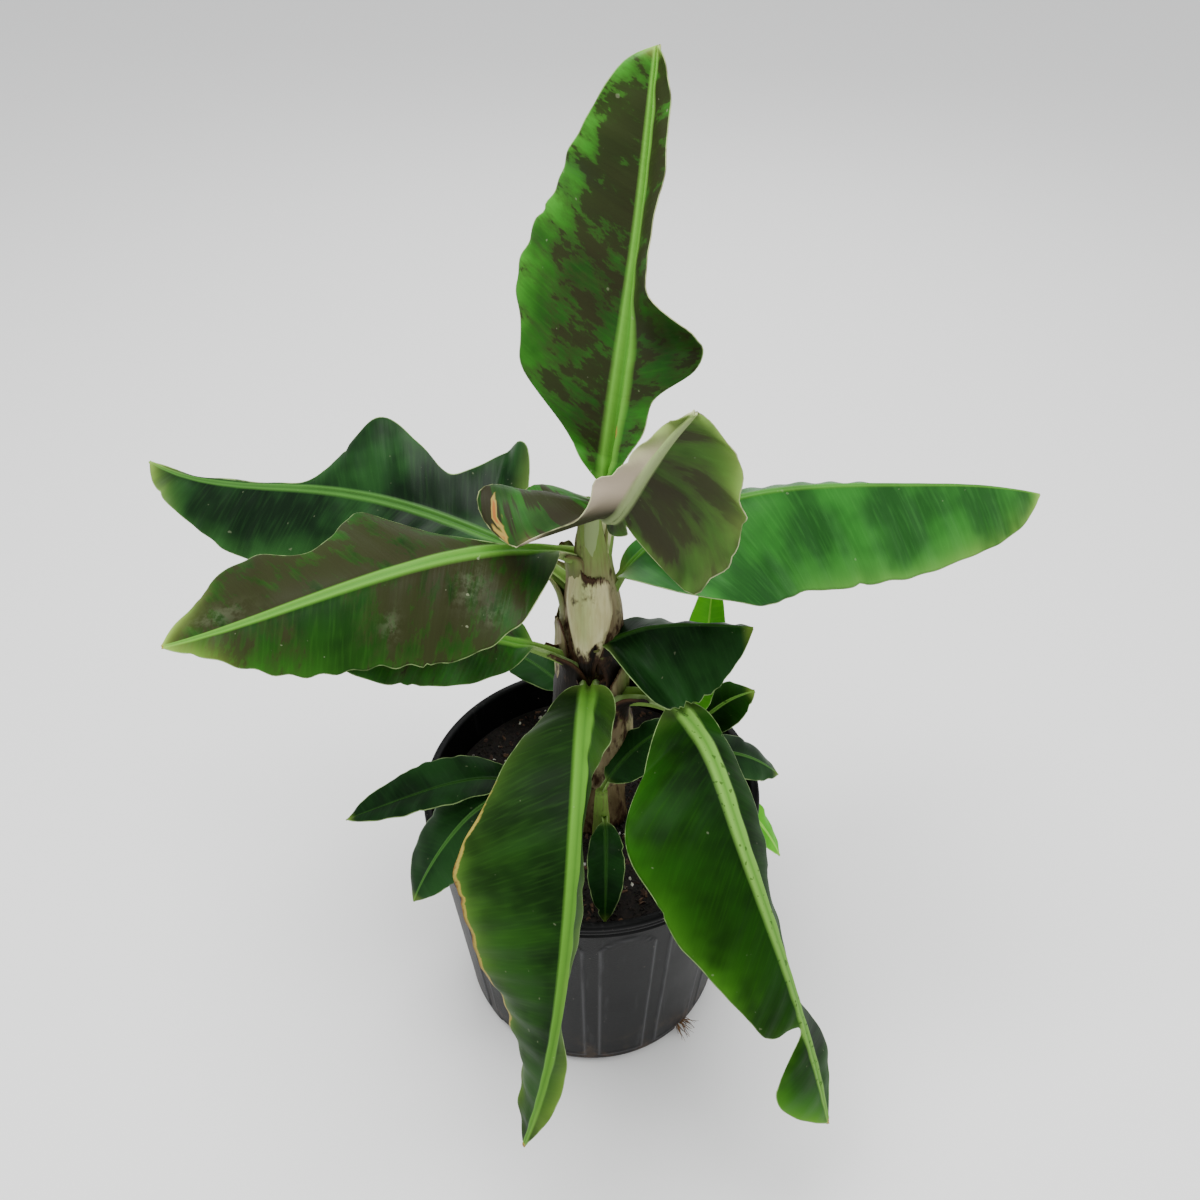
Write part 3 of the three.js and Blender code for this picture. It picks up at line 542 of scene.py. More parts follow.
leafLooks = {
    "leafUpright": {
        "material": leafBlotched, "under": undersideBloom, "ruffle": 1.2, "ribWidth": 1.65,
        "blotch": [[0.4, 0.7, 0.8, 0.7, 0.75, 0.95, 1.1, 0.9, 0.2], [0.1, 0.2, 0.5, 0.8, 1.0, 1.1, 1.0, 0.3]],
        "band": [0.7, 0.2],
        "glow": [[0.4, 0.5, 0.8, 1.0, 1.0, 1.0, 0.9], [0.3, 0.3, 0.2, 0.2, 0.6]], "glowReach": 20,
        "dryPatches": [[0.16, -3, 5, 3]], "tipDry": 0.3,
    },
    "leafCrumpled": {
        "material": crumpledUpper, "under": crumpledUnder, "ruffle": 3.2, "pleat": 1.0, "nicks": 5,
        "blotch": [[0.7, 0.9, 0.8, 0.5, 0.3], [0.6, 0.9, 1.0, 0.6, 0.2]], "band": [0.6, 0.1],
        "bloom": [[0, 0], [0, 0, 0, 0, 1, 1, 0.8, 0.1, 0]],
        "pale": [[0, 0, 0.1, 0.2, 0.5, 0.9, 1.0], [0, 0, 0, 0, 0, 0.7, 1.0, 1.0]],
        "glow": [[0.1, 0.4, 0.8, 0.8, 0.6], [0.1, 0.1]], "glowReach": 26,
        "dryPatches": [[0.205, -75, 6, 1.8], [0.25, -70, 6, 1.6]], "ragged": 4.0,
        "bloomPatches": [[0.33, -56, 6, 5]], "tipDry": 0.2,
    },
    "leafRight": {
        "material": leafLight, "ruffle": 0.3, "pleat": 0.8, "nicks": 1, "tipDry": 0.2, "ribWidth": 0.6,
        "ragged": 0.7,
        "glow": [[0.2, 0.5, 0.3], [0.3, 0.3, 0.5, 0.3]], "glowReach": 24,
        "pale": [[0, 0, 0, 0, 0.5], [0, 0, 0.2, 0.3, 0.9]],
    },
    "leafLeftBack": {
        "material": leafDark, "ruffle": 1.8, "pleat": 0.7, "tipDry": 0.1, "ribWidth": 0.85,
        "pale": [[0, 0, 0, 0, 0, 0, 0.8], [0, 0, 0, 0, 0, 0, 0, 0.8]],
        "glow": [[0.1, 0.5, 0.5, 0.1], [0.1, 0.1]],
    },
    "leafLeftFront": {
        "material": leafOlive, "under": undersideBloom, "ruffle": 1.0, "ribWidth": 0.95,
        "blotch": [[0.2, 0.6, 1.0, 0.8, 0.05, 0.3, 0.7, 0.3], [0.6, 0.8, 0.9, 1.0, 1.0, 0.7]], "ragged": 1.8,
        "glow": [[0.2, 0.2, 0.3, 0.6, 0.5], [0.3, 0.3]], "glowReach": 14,
        "pale": [[0, 0, 0, 0, 0, 0.1, 1.0], [0, 0, 0, 0, 0, 0.1, 1.0]], "tipDry": 0.5,
        "marks": [[0.24, 24, 12, 14], [0.18, 46, 9, 8], [0.45, 34, 7, 10], [0.85, -12, 20, 8]],
    },
    "leafLeftLow": {"material": leafBlotched, "blotch": [[0.35], [0.2]], "glow": [[0.3], [0.3]]},
    "leafFront": {
        "material": leafHeavy, "ruffle": 1.2, "pleat": 0.7, "ribWidth": 1.1,
        "dry": [[0, 0, 0, 0.1, 0], [0, 0, 0.5, 0.8, 0.8, 0.7, 0.2, 0]],
        "pale": [[0.1, 0.1, 0.2, 0.3, 0.4], [0, 0.1, 0.3, 0.3, 0.2]],
        "glow": [[0.2, 0.3, 0.4], [0, 0.2, 0.6, 0.2, 0.1]], "glowReach": 22,
        # painted shade over the base of the right half, which lies in shadow under the leaves above
        "paintedShade": [[0], [0.9, 0.9, 0.5, 0.1, 0, 0, 0]],
    },
    "leafFrontRight": {
        "material": leafGreen, "ruffle": 1.2, "ribWidth": 1.15,
        "glow": [[0.1, 0.1, 0.1, 0.1, 0.5], [0.1, 0.5, 0.5, 0.7, 0.5, 0.3, 1.0, 1.0]], "glowReach": 18,
        "pale": [[0], [0, 0, 0.1, 0.1, 0.1, 0.3]],
    },
    "leafSmallRight": {"material": leafShaded, "pleat": 0.8, "ribWidth": 0.6, "tipDry": 0.2},
    "suckerLeafLowLeft": {"material": leafDark},
    "suckerLeafBright": {"material": leafYoung},
    "suckerLeafTip": {"material": leafYoung},
    "suckerLeafBack": {"material": leafGreen},
    "suckerLeafRight": {"material": leafDark},
}
suckerLook = {"material": leafShaded, "nicks": 1, "ruffle": 0.8, "ribWidth": 0.75, "tipDry": 0.2}
bladeSettings = {
    "halfThickness": 0.3, "veinSweep": 12, "stationSpacing": 2.4, "channel": 45, "tipZone": 7, "dryReach": 4,
    "paleReach": 7, "mainColumns": 26, "suckerColumns": 12,
}


def bladeOutline(leaf, t):
    widest = leaf["widest"]
    rise = (1 - (np.clip(widest - t, 0, None) / widest) ** leaf["baseRound"]) ** (1 / 1.8)
    reach = np.clip((t - widest) / (1 - widest), 0, 1)
    fall = (1 - reach ** leaf["tipTaper"]) ** (1 / 1.15)
    return np.where(t < widest, np.where(t > 0, np.nan_to_num(rise), 0), fall)


def midribFrames(leaf, places):
    # point, forward, left and up of the midrib at the given places (mm from the root)
    length = leaf["stalk"] + leaf["blade"]
    share = np.linspace(0, 1, 481)
    pitch = np.radians(keyed(leaf["pitch"], share))
    heading = np.radians(keyed(leaf["heading"], share))
    flat = np.cos(pitch)
    forward = np.stack([flat * np.cos(heading), flat * np.sin(heading), np.sin(pitch)], 1)
    travel = np.cumsum((forward[1:] + forward[:-1]) / 2 * length / 480, 0)
    point = np.array(leaf["root"]) + np.vstack([np.zeros(3), travel])
    left = np.stack([-np.sin(heading), np.cos(heading), 0 * heading], 1)
    up = np.cross(forward, left)
    return [
        np.stack([np.interp(places / length, share, part[:, axis]) for axis in range(3)], 1)
        for part in (point, forward, left, up)
    ]


def petioleRadius(leaf, places):
    return leaf["stalkRadius"] * (1 - 0.35 * np.clip(places / leaf["stalk"], 0, 1))


def ellipsePatches(patches, t, offset, blade):
    total = 0 * offset
    for middle, side, halfLength, halfWidth in patches:
        spread = ((t - middle) * blade / halfLength) ** 2 + ((offset - side) / halfWidth) ** 2
        total = np.maximum(total, 1.1 * np.exp(-spread))
    return total


def spineOf(leaf, look):
    # stations along the petiole and midrib, with the midrib's frame and half width at each
    blade = leaf["blade"]
    even = np.linspace(0, 1, int(blade / bladeSettings["stationSpacing"]))
    bladePlaces = leaf["stalk"] + blade * (0.7 * even + 0.3 * (0.5 - 0.5 * np.cos(np.pi * even)))
    places = np.concatenate([np.linspace(0.02, 0.96, 12) * leaf["stalk"], bladePlaces])
    t = (places - leaf["stalk"]) / blade
    inBlade = np.clip(t, 0, 1)
    petiole = petioleRadius(leaf, places)
    rib = petiole * look["ribWidth"] * np.where(t > 0, 0.95 - 0.3 * inBlade - 0.4 * inBlade ** 2, 0.95)
    least = np.maximum(petiole * np.where(t > 0, 1 - inBlade, 1), 0.8)
    return t, places, midribFrames(leaf, places), rib, least


def halfWidth(leaf, look, t, side, seed):
    # outline of one half, with a wandering margin and a few torn nicks
    shape = ("left", "right")[side] + "Shape"
    width = bladeOutline(leaf, t) * leaf["width"][side]
    if shape in leaf:
        width = width * keyed(leaf[shape], t)
    width = width * (1 + look["ragged"] / 100 * waves(seed + 7 * side, 5, t, 3, 14))
    dice = random.Random(seed + 31 * side)
    for _ in range(look["nicks"]):
        notch = dice.uniform(0.25, 0.95)
        depth = dice.uniform(1, 2.5)
        width = width - depth * np.exp(-(((t - notch) * leaf["blade"]) / dice.uniform(1.5, 4)) ** 2)
    return width


def growHalf(leaf, look, spine, side, columns, seed):
    # middle surface of one half: a row of points out from the midrib at each station
    t, places, (point, forward, left, up), rib, least = spine
    key = ("left", "right")[side]
    hand = 1 - 2 * side
    width = np.maximum(halfWidth(leaf, look, t, side, seed), least)
    inner = np.array([0.0, 0.3, 0.6, 0.85, 1.1, 1.4])
    outer = np.linspace(0, 1, columns) ** 0.85
    ribEdge = np.minimum(inner[None, :] * rib[:, None], width[:, None] * inner / 1.7)
    spread = ribEdge[:, -1:] + (width[:, None] - ribEdge[:, -1:]) * outer[None, 1:]
    distance = np.concatenate([ribEdge, spread], 1)
    across = distance / width[:, None]
    middle = (across[:, 1:] + across[:, :-1]) / 2
    bladeShare = smooth(0.0, 0.15, t)[:, None]
    sweepKeys = leaf.get(key + "Sweep", [bladeSettings["veinSweep"]])
    lean = np.radians(np.where(t > 0, keyed(sweepKeys, t), 0))
    sweep = lean[:, None, None]
    opened = np.clip(np.where(t < 0, 0.4 * (1 + 8 * t), 0.4 + 10 * t), 0, 1)
    channel = bladeSettings["channel"] * np.clip(1 - 12 * t, 0, 1)
    angle = (keyed(leaf[key + "Fold"], t) * opened + channel)[:, None]
    angle = np.radians(angle + look["bow"][side] * (middle - 0.5) * bladeShare)
    out = hand * left[:, None] * np.cos(angle)[..., None] + up[:, None] * np.sin(angle)[..., None]
    out = out * np.cos(sweep) + forward[:, None] * np.sin(sweep)
    steps = np.cumsum(out * np.diff(distance, axis=1)[..., None], 1)
    grid = point[:, None] + np.concatenate([0 * point[:, None], steps], 1)
    face = up[:, None] * np.cos(angle)[..., None] - hand * left[:, None] * np.sin(angle)[..., None]
    face = np.concatenate([face[:, :1], face], 1)
    swept = places[:, None] - distance * np.tan(lean)[:, None]
    rise = look["ruffle"] * across ** 2.2 * waves(seed * 3 + side, 3, t[:, None] + 0.1 * across, 1.5, 7)
    wide = np.minimum(across * 4, 1) * smooth(4, 20, width)[:, None]
    rise = rise + look["pleat"] * wide * waves(seed * 5 + side, 5, swept / 100, 1.2, 5)
    grid = grid + face * (rise * bladeShare)[..., None]
    return grid, distance * hand, width[:, None] - distance, swept


def bladeValues(leaf, look, t, ratio, offset, margin):
    # what the materials are told at each point of the blade
    blade = leaf["blade"]
    along = t[:, None]
    past = np.clip(margin, 0, None)
    leftHalf = offset > 0

    def byHalf(pair):
        return np.where(leftHalf, *[keyed(keys, t)[:, None] for keys in pair])

    share = np.abs(offset) / np.maximum(np.abs(offset) + past, 1e-6)
    lacking = np.where(leftHalf, *look["band"]) * smooth(0.55, 0.85, share)
    dry = byHalf(look["dry"]) * np.exp(-(past / bladeSettings["dryReach"]) ** 2)
    pale = byHalf(look["pale"]) * np.exp(-past / bladeSettings["paleReach"])
    bladeShare = smooth(0.0, 0.1, along)
    dryTip = look["tipDry"] * smooth(1 - bladeSettings["tipZone"] / blade, 1.0, along)
    return {
        "edge": margin,
        "rib": np.maximum(1 - smooth(0.8, 1.35, ratio), 1 - smooth(-0.04, 0.03, along)),
        "groove": np.exp(-(ratio / 0.3) ** 2) * smooth(-0.2, 0.1, along),
        "stalk": 0.9 * (1 - smooth(-0.04, 0.06, along)),
        "blotch": byHalf(look["blotch"]) * bladeShare * (1 - lacking),
        "dry": np.maximum(np.maximum(dry, ellipsePatches(look["dryPatches"], along, offset, blade)), dryTip),
        "pale": np.maximum(pale, 0.6 * smooth(1 - 10 / blade, 1.0, along)),
        # painted shade: the share of the deepest green laid over the shadowed part of a half
        "paintedShade": byHalf(look["paintedShade"]),
        "glow": byHalf(look["glow"]) * np.exp(-past / look["glowReach"]),
        "bloom": np.maximum(
            byHalf(look["bloom"]) * bladeShare, ellipsePatches(look["bloomPatches"], along, offset, blade),
        ),
        "marks": ellipsePatches(look["marks"], along, offset, blade),
    }


def growLeaf(name, leaf, look, columns, seed):
    spine = spineOf(leaf, look)
    t, _, _, rib, _ = spine
    halves = [growHalf(leaf, look, spine, side, columns, seed) for side in (0, 1)]
    middle, offset, margin, swept = [
        np.concatenate([first[:, ::-1], second[:, 1:]], 1) for first, second in zip(*halves)
    ]
    normal = np.cross(np.gradient(middle, axis=0), -np.gradient(middle, axis=1))
    normal = normal / np.maximum(np.linalg.norm(normal, axis=2, keepdims=True), 1e-9)
    ratio = np.clip(np.abs(offset) / rib[:, None], 0, 2)
    keel = rib[:, None] * 0.8 * np.sqrt(np.clip(1 - ratio ** 2, 0, 1))
    shoulder = 0.3 * rib[:, None] * np.exp(-((ratio - 0.7) / 0.3) ** 2) * smooth(-0.3, 0.1, t)[:, None]
    top = middle + normal * (bladeSettings["halfThickness"] + shoulder)[..., None]
    bottom = middle - normal * (bladeSettings["halfThickness"] + keel)[..., None]
    piece = closedShell(name, top, bottom, [look["material"], look["under"]])
    tellShell(piece, bladeValues(leaf, look, t, ratio, offset, margin), offset)
    addUV(piece, np.concatenate([swept.ravel()] * 2), np.concatenate([offset.ravel() + 700 * seed] * 2))
    return piece


def growLeaves():
    for index, (name, leaf) in enumerate(mainLeaves.items()):
        look = {**plainLook, **leafLooks.get(name, {})}
        piece = growLeaf(name + "Blade", leaf, look, bladeSettings["mainColumns"], 11 + index)
        blotched = look["material"] in (leafBlotched, leafOlive, crumpledUpper)
        finishPiece(piece, "blotched_leaf" if blotched else "green_leaf", name)
    for index, (name, leaf) in enumerate(suckerLeaves.items()):
        look = {**plainLook, **suckerLook, **leafLooks.get(name, {})}
        shape = {**suckerLeafShape, **leaf}
        piece = growLeaf(name + "Blade", shape, look, bladeSettings["suckerColumns"], 41 + index)
        finishPiece(piece, "young_leaf" if look["material"] is leafYoung else "green_leaf", name)


growLeaves()
print("leaves grown")


# Stem: the solid's own rule with more sides, under clasping leaf bases and torn sheaths

stemSettings = {
    "bottom": 221, "height": 284, "radii": [30, 27, 24.5, 22.5, 20.5, 17, 11], "lean": [1, 2],
    "sides": 96, "rows": 90, "fibreLift": 0.5,
}


def stemRadius(z):
    return keyed(stemSettings["radii"], (z - stemSettings["bottom"]) / stemSettings["height"])


def stemCentre(z):
    t = (z - stemSettings["bottom"]) / stemSettings["height"]
    return np.stack([stemSettings["lean"][0] * t, stemSettings["lean"][1] * t], -1)


# strand, cloud and bruise sizes in millimetres
tissuePattern = {"strand": 1.9, "cloud": 24, "bruise": 13.3, "relief": 0.6}


def tissueMaterial(name, look):
    # rolled leaf bases: watery fibrous tissue with long fine strands, bruised brown where it rots
    material, tree, shader = newMaterial(name, 0.6, 0.12)
    place = add(tree, "TexCoord", take="Object")
    told = {key: add(tree, "Attribute", take="Fac", attribute_name=key) for key in ("rot", "green", "edge")}
    strands = add(tree, "Mapping", place, None, None, (1.0, 1.0, 0.06))
    strands = add(tree, "TexNoise", strands, every(tissuePattern["strand"]), 3.0, 0.5)
    cloudy = add(tree, "Mapping", place, None, None, (1.0, 1.0, 0.45))
    cloudy = add(tree, "TexNoise", cloudy, every(tissuePattern["cloud"]), 4.0, 0.55)
    bruise = add(tree, "Mapping", place, None, None, (1.0, 1.0, 0.5))
    bruise = add(tree, "TexNoise", bruise, every(tissuePattern["bruise"]), 4.0, 0.65)
    rotten = add(tree, "Math", told["rot"], 0.45, bruise, operation="MULTIPLY_ADD")
    papery = add(tree, "MapRange", told["edge"], 0.8, 4.0, 1.0, 0.0)
    colour = layered(tree, look["base"], [
        (add(tree, "MapRange", cloudy, 0.35, 0.65), look["light"]),
        (told["green"], look["green"]),
        (add(tree, "MapRange", strands, 0.4, 0.7, 0.0, 0.35), look["strand"]),
        (add(tree, "MapRange", rotten, 0.58, 0.74), look["brown"]),
        (add(tree, "MapRange", rotten, 0.72, 0.84), look["black"]),
        (add(tree, "Math", papery, add(tree, "MapRange", cloudy, 0.3, 0.6)), look["papery"]),
    ])
    height = add(tree, "Math", cloudy, 0.8, strands, operation="MULTIPLY_ADD")
    dress(tree, shader, colour, height, tissuePattern["relief"], 0.9)
    return material


paleTissue = {
    "base": "#70644a", "light": "#958a68", "green": "#6f9240", "strand": "#6b5940",
    "brown": "#3a281b", "black": "#15100b", "papery": "#46301f",
}
stemTissue = tissueMaterial("rolledStemTissue", {**paleTissue, "base": "#55482f", "light": "#7d7050"})
sheathTissue = tissueMaterial("claspingSheathTissue", paleTissue)
creamTissue = tissueMaterial("creamSheathTissue", {
    **paleTissue, "base": "#ccc493", "light": "#e4e0b2", "green": "#a3b868", "strand": "#a69a68",
})
shootTissue = tissueMaterial("greenShootTissue", {**paleTissue, "base": "#4c6428", "light": "#73873f"})


def growStem():
    sides = stemSettings["sides"]
    rows = stemSettings["rows"]
    angles = np.arange(sides) / sides * 2 * np.pi
    t = np.linspace(0, 1, rows)[:, None]
    z = stemSettings["bottom"] + stemSettings["height"] * t + 0 * angles
    wound = np.mod(angles / np.pi + 1.5 * t, 1)
    radius = stemRadius(z) * (0.97 + 0.07 * smooth(0, 1, wound) - 0.05 * smooth(0.93, 1, wound))
    radius = radius + stemSettings["fibreLift"] * waves(3, 5, angles[None, :] / 6.28 + 0.1 * t, 9, 30)
    centre = stemCentre(z)
    x = centre[..., 0] + radius * np.cos(angles)
    y = centre[..., 1] + radius * np.sin(angles)
    ends = [[*stemCentre(level), level] for level in (z[0, 0], z[-1, 0])]
    points = np.vstack([np.stack([x, y, z], 2).reshape(-1, 3), ends])
    piece = makePiece("rolledStem", points, cappedFaces(rows, sides), [stemTissue])
    rot = smooth(330, 400, points[:, 2]) * (1 - smooth(425, 470, points[:, 2])) * 0.6
    rot = rot + 0.5 * (1 - smooth(225, 270, points[:, 2]))
    addAttribute(piece, "rot", rot)
    addAttribute(piece, "green", 0.3 * smooth(300, 480, points[:, 2]))
    addAttribute(piece, "edge", 9 + 0 * rot)
    finishPiece(piece, "stem_tissue", "pseudostem")


# Clasping base of each leaf: from round the stem it narrows and runs out along the petiole
claspSettings = {
    "drop": 80, "reach": 0.75, "spanLow": 200, "spanHigh": 175, "thickness": 2.6, "layerStep": 0.7,
    "rows": 70, "columns": 31,
}


def growClasp(name, leaf, layer):
    rows = claspSettings["rows"]
    columns = claspSettings["columns"]
    s = np.linspace(0, 1, rows)
    weight = smooth(0.4, 0.85, s)[:, None]
    rootZ = leaf["root"][2]
    z = rootZ - claspSettings["drop"] + claspSettings["drop"] * 1.1 * np.clip(s / 0.75, 0, 1.2)
    places = leaf["stalk"] * claspSettings["reach"] * np.clip((s - 0.35) / 0.65, 0, 1)
    point, forward, left, up = midribFrames(leaf, places)
    petiole = petioleRadius(leaf, places)
    heading = math.radians(leaf["heading"][0])
    stemMiddle = np.concatenate([stemCentre(z), z[:, None]], 1)
    stemOut = np.array([math.cos(heading), math.sin(heading), 0.0])
    high = smooth(0.0, 1.0, (z - 470) / 35)
    stemWide = stemRadius(z) * (1.03 + 0.2 * high) + layer * claspSettings["layerStep"]
    opening = np.radians(45)
    channel = petiole / math.sin(opening) * 0.9
    middle = (1 - weight) * stemMiddle + weight * (point + up * (channel * 0.82)[:, None])
    outward = (1 - weight) * stemOut + weight * -up
    outward = outward / np.linalg.norm(outward, axis=1, keepdims=True)
    along = np.gradient(middle, axis=0)
    along = along / np.linalg.norm(along, axis=1, keepdims=True)
    sideways = np.cross(along, outward)
    sideways = sideways / np.linalg.norm(sideways, axis=1, keepdims=True)
    outward = np.cross(sideways, along)
    radius = (1 - weight[:, 0]) * stemWide + weight[:, 0] * channel
    low = claspSettings["spanLow"]
    span = np.radians(low + (claspSettings["spanHigh"] - low) * smooth(0, 0.6, s) - 20 * smooth(0.2, 0.5, s))
    u = np.linspace(-1, 1, columns)
    wander = 1 + 0.03 * waves(layer * 5 + 2, 4, s, 1, 6)
    angle = (span * wander / 2)[:, None] * u
    thick = claspSettings["thickness"] * (0.18 + 0.82 * (1 - np.abs(u) ** 2.5))
    thick = thick * (0.35 + 0.65 * smooth(0, 0.2, s))[:, None] * (1 - 0.55 * smooth(0.6, 1, s))[:, None]
    direction = outward[:, None] * np.cos(angle)[..., None] + sideways[:, None] * np.sin(angle)[..., None]
    ribs = 0.25 * waves(layer + 60, 5, (angle * radius[:, None]) / 40 + 0 * s[:, None], 4, 14)
    outer = middle[:, None] + direction * (radius[:, None] + thick + ribs)[..., None]
    inner = middle[:, None] + direction * radius[:, None, None]
    piece = closedShell(name, outer, inner, [sheathTissue])
    edge = (1 - np.abs(u)) * (span / 2 * radius)[:, None]
    rot = 1.1 * np.exp(-((z - 385) / 45) ** 2)[:, None] + 0.3 * (1 - smooth(0, 0.3, s))[:, None] + 0 * u
    green = smooth(0.35, 0.85, s)[:, None] * (0.85 - 0.35 * np.abs(u) ** 3) + 0 * u
    tellShell(piece, {"edge": edge, "rot": rot, "green": green}, edge)
    finishPiece(piece, "sheath_tissue")


def rootHeight(name):
    return mainLeaves[name]["root"][2]


def growClasps():
    # the highest leaf's base lies innermost
    for layer, name in enumerate(sorted(mainLeaves, key=rootHeight, reverse=True)):
        growClasp(name + "Clasp", mainLeaves[name], layer)


# Torn sheaths: dead leaf bases whose blades are gone, pale outside with a brown papery torn edge
tornSheaths = {
    "sheathFront": {
        "heading": -100, "span": 132, "foot": 0.25, "bottom": 400, "top": 494, "thickness": 4, "flare": 4,
        "tear": 5, "slant": -20, "bruise": [0.3, 0.72], "material": creamTissue,
    },
    "sheathLeft": {
        "heading": 178, "span": 120, "foot": 0.7, "bottom": 350, "top": 440, "thickness": 3.5, "flare": 6,
        "tear": 14, "slant": 0, "bruise": [0.2, 0.4], "material": sheathTissue,
    },
    "sheathRight": {
        "heading": -20, "span": 100, "foot": 0.6, "bottom": 345, "top": 400, "thickness": 3.5, "flare": 7,
        "tear": 10, "slant": 0, "bruise": [0.3, 0.6], "material": sheathTissue,
    },
}


def growTornSheath(name, sheath, seed):
    rows = 46
    columns = 61
    t = np.linspace(0, 1, rows)[:, None]
    u = np.linspace(0, 1, columns)[None, :]
    torn = sheath["tear"] * (0.5 * np.sin(9 * u + sheath["span"]) - 2 * (u - 0.5) ** 2)
    torn = torn + sheath["slant"] * (u - 0.5) + 1.3 * waves(seed, 6, u, 5, 24)
    z = sheath["bottom"] + (sheath["top"] - sheath["bottom"] + torn) * t
    spread = (sheath["foot"] + (1 - sheath["foot"]) * smooth(0, 0.75, t)) * (1 - 0.2 * t)
    angle = np.radians(sheath["heading"] + sheath["span"] * spread * (u - 0.5))
    hug = stemRadius(z) * 1.04 + 0.3 + sheath["flare"] * t ** 2 + 0.4 * waves(seed + 9, 4, u + 0.2 * t, 2, 9)
    thick = sheath["thickness"] * (0.3 + 0.7 * np.sin(np.pi * u) ** 0.8) * (1 - 0.75 * smooth(0.55, 1, t))
    thick = thick * (0.4 + 0.6 * smooth(0, 0.15, t)) + 0.35
    centre = stemCentre(z)
    shells = []
    for radius in (hug + thick, hug):
        x = centre[..., 0] + radius * np.cos(angle)
        shells.append(np.stack([x, centre[..., 1] + radius * np.sin(angle), z + 0 * x], 2))
    piece = closedShell(name + "Torn", *shells, [sheath["material"]])
    topEdge = (1 - t) * (sheath["top"] - sheath["bottom"]) + 0 * u
    sideEdge = (0.5 - np.abs(u - 0.5)) * np.radians(sheath["span"]) * spread * hug
    edge = np.minimum(topEdge * 0.6, sideEdge)
    low, side = sheath["bruise"]
    rot = 0.95 * np.exp(-(t / 0.24) ** 2) + 0.4 * smooth(0.9, 1, t) + 0.2 * smooth(0.4, 0.8, u) * (1 - t)
    rot = rot + 0.8 * np.exp(-((t - low) / 0.08) ** 2 - ((u - side) / 0.1) ** 2)
    green = 0.55 * smooth(0.2, 0.5, t) * np.exp(-((u - 0.45) / 0.2) ** 2)
    tellShell(piece, {"edge": edge, "rot": rot, "green": green}, hug)
    finishPiece(piece, "sheath_tissue", name)


# Sucker stems: short rolled shoots, each wrap ending in an oblique edge
suckerStems = {
    "suckerLeft": {"foot": [-48, -25], "radius": 11, "height": 76},
    "suckerFront": {"foot": [8, -44], "radius": 8, "height": 78},
    "suckerRight": {"foot": [74, 18], "radius": 12, "height": 80},
    "suckerBack": {"foot": [-6, 66], "radius": 11, "height": 78},
}


def growSuckerStem(name, sucker, seed):
    profile = [[0, 0]]
    low = soilSettings["level"] - 2
    for t in np.linspace(0, 1, 40):
        profile.append([sucker["radius"] * float(keyed([1, 0.85, 0.6], t)), low + (sucker["height"] + 2) * t])
    profile[0][1] = profile[1][1]
    profile.append([0, profile[-1][1]])

    def wraps(angle, z, radius):
        wound = np.mod(angle / np.pi / 2 + (z - low) / 34 + seed * 0.37, 1)
        return 0.09 * radius * wound - 0.07 * radius * smooth(0.92, 1, wound) - 0.04 * radius

    angles = np.arange(40) / 40 * 2 * np.pi
    piece = turnedBody(name + "Shoot", profile, angles, [shootTissue], wraps)
    points = np.array([vertex.co[:] for vertex in piece.data.vertices]) / mm
    piece.data.transform(Matrix.Translation((sucker["foot"][0] * mm, sucker["foot"][1] * mm, 0)))
    addAttribute(piece, "rot", 0.75 * (1 - smooth(low, low + 22, points[:, 2])))
    addAttribute(piece, "green", smooth(low + 20, low + 70, points[:, 2]))
    addAttribute(piece, "edge", 9 + 0 * points[:, 2])
    finishPiece(piece, "stem_tissue", name + "Stem")


# Nursery pot: blown polyethylene, matt black, with raised arched panels and a ringed lip
potSettings = {
    "height": 250, "rimRadius": 140, "baseRadius": 113, "wall": 2.4, "floor": 3,
    "lipHeight": 14, "lipOverhang": 4.5, "panels": 14, "panelAngle": 20, "panelRelief": 0.9,
    "panelBottom": 15, "panelTop": 222, "drainRadius": 7, "drainHeight": 9, "beadLift": 0.5,
}


def wallRadius(z):
    rimInside = potSettings["rimRadius"] - potSettings["lipOverhang"]
    return potSettings["baseRadius"] + (rimInside - potSettings["baseRadius"]) * z / potSettings["height"]


# sizes in millimetres
potPattern = {"cloud": 70, "streak": 6, "dust": 17, "speck": 3, "skin": 1.1, "dustHeight": 70, "relief": 0.2}


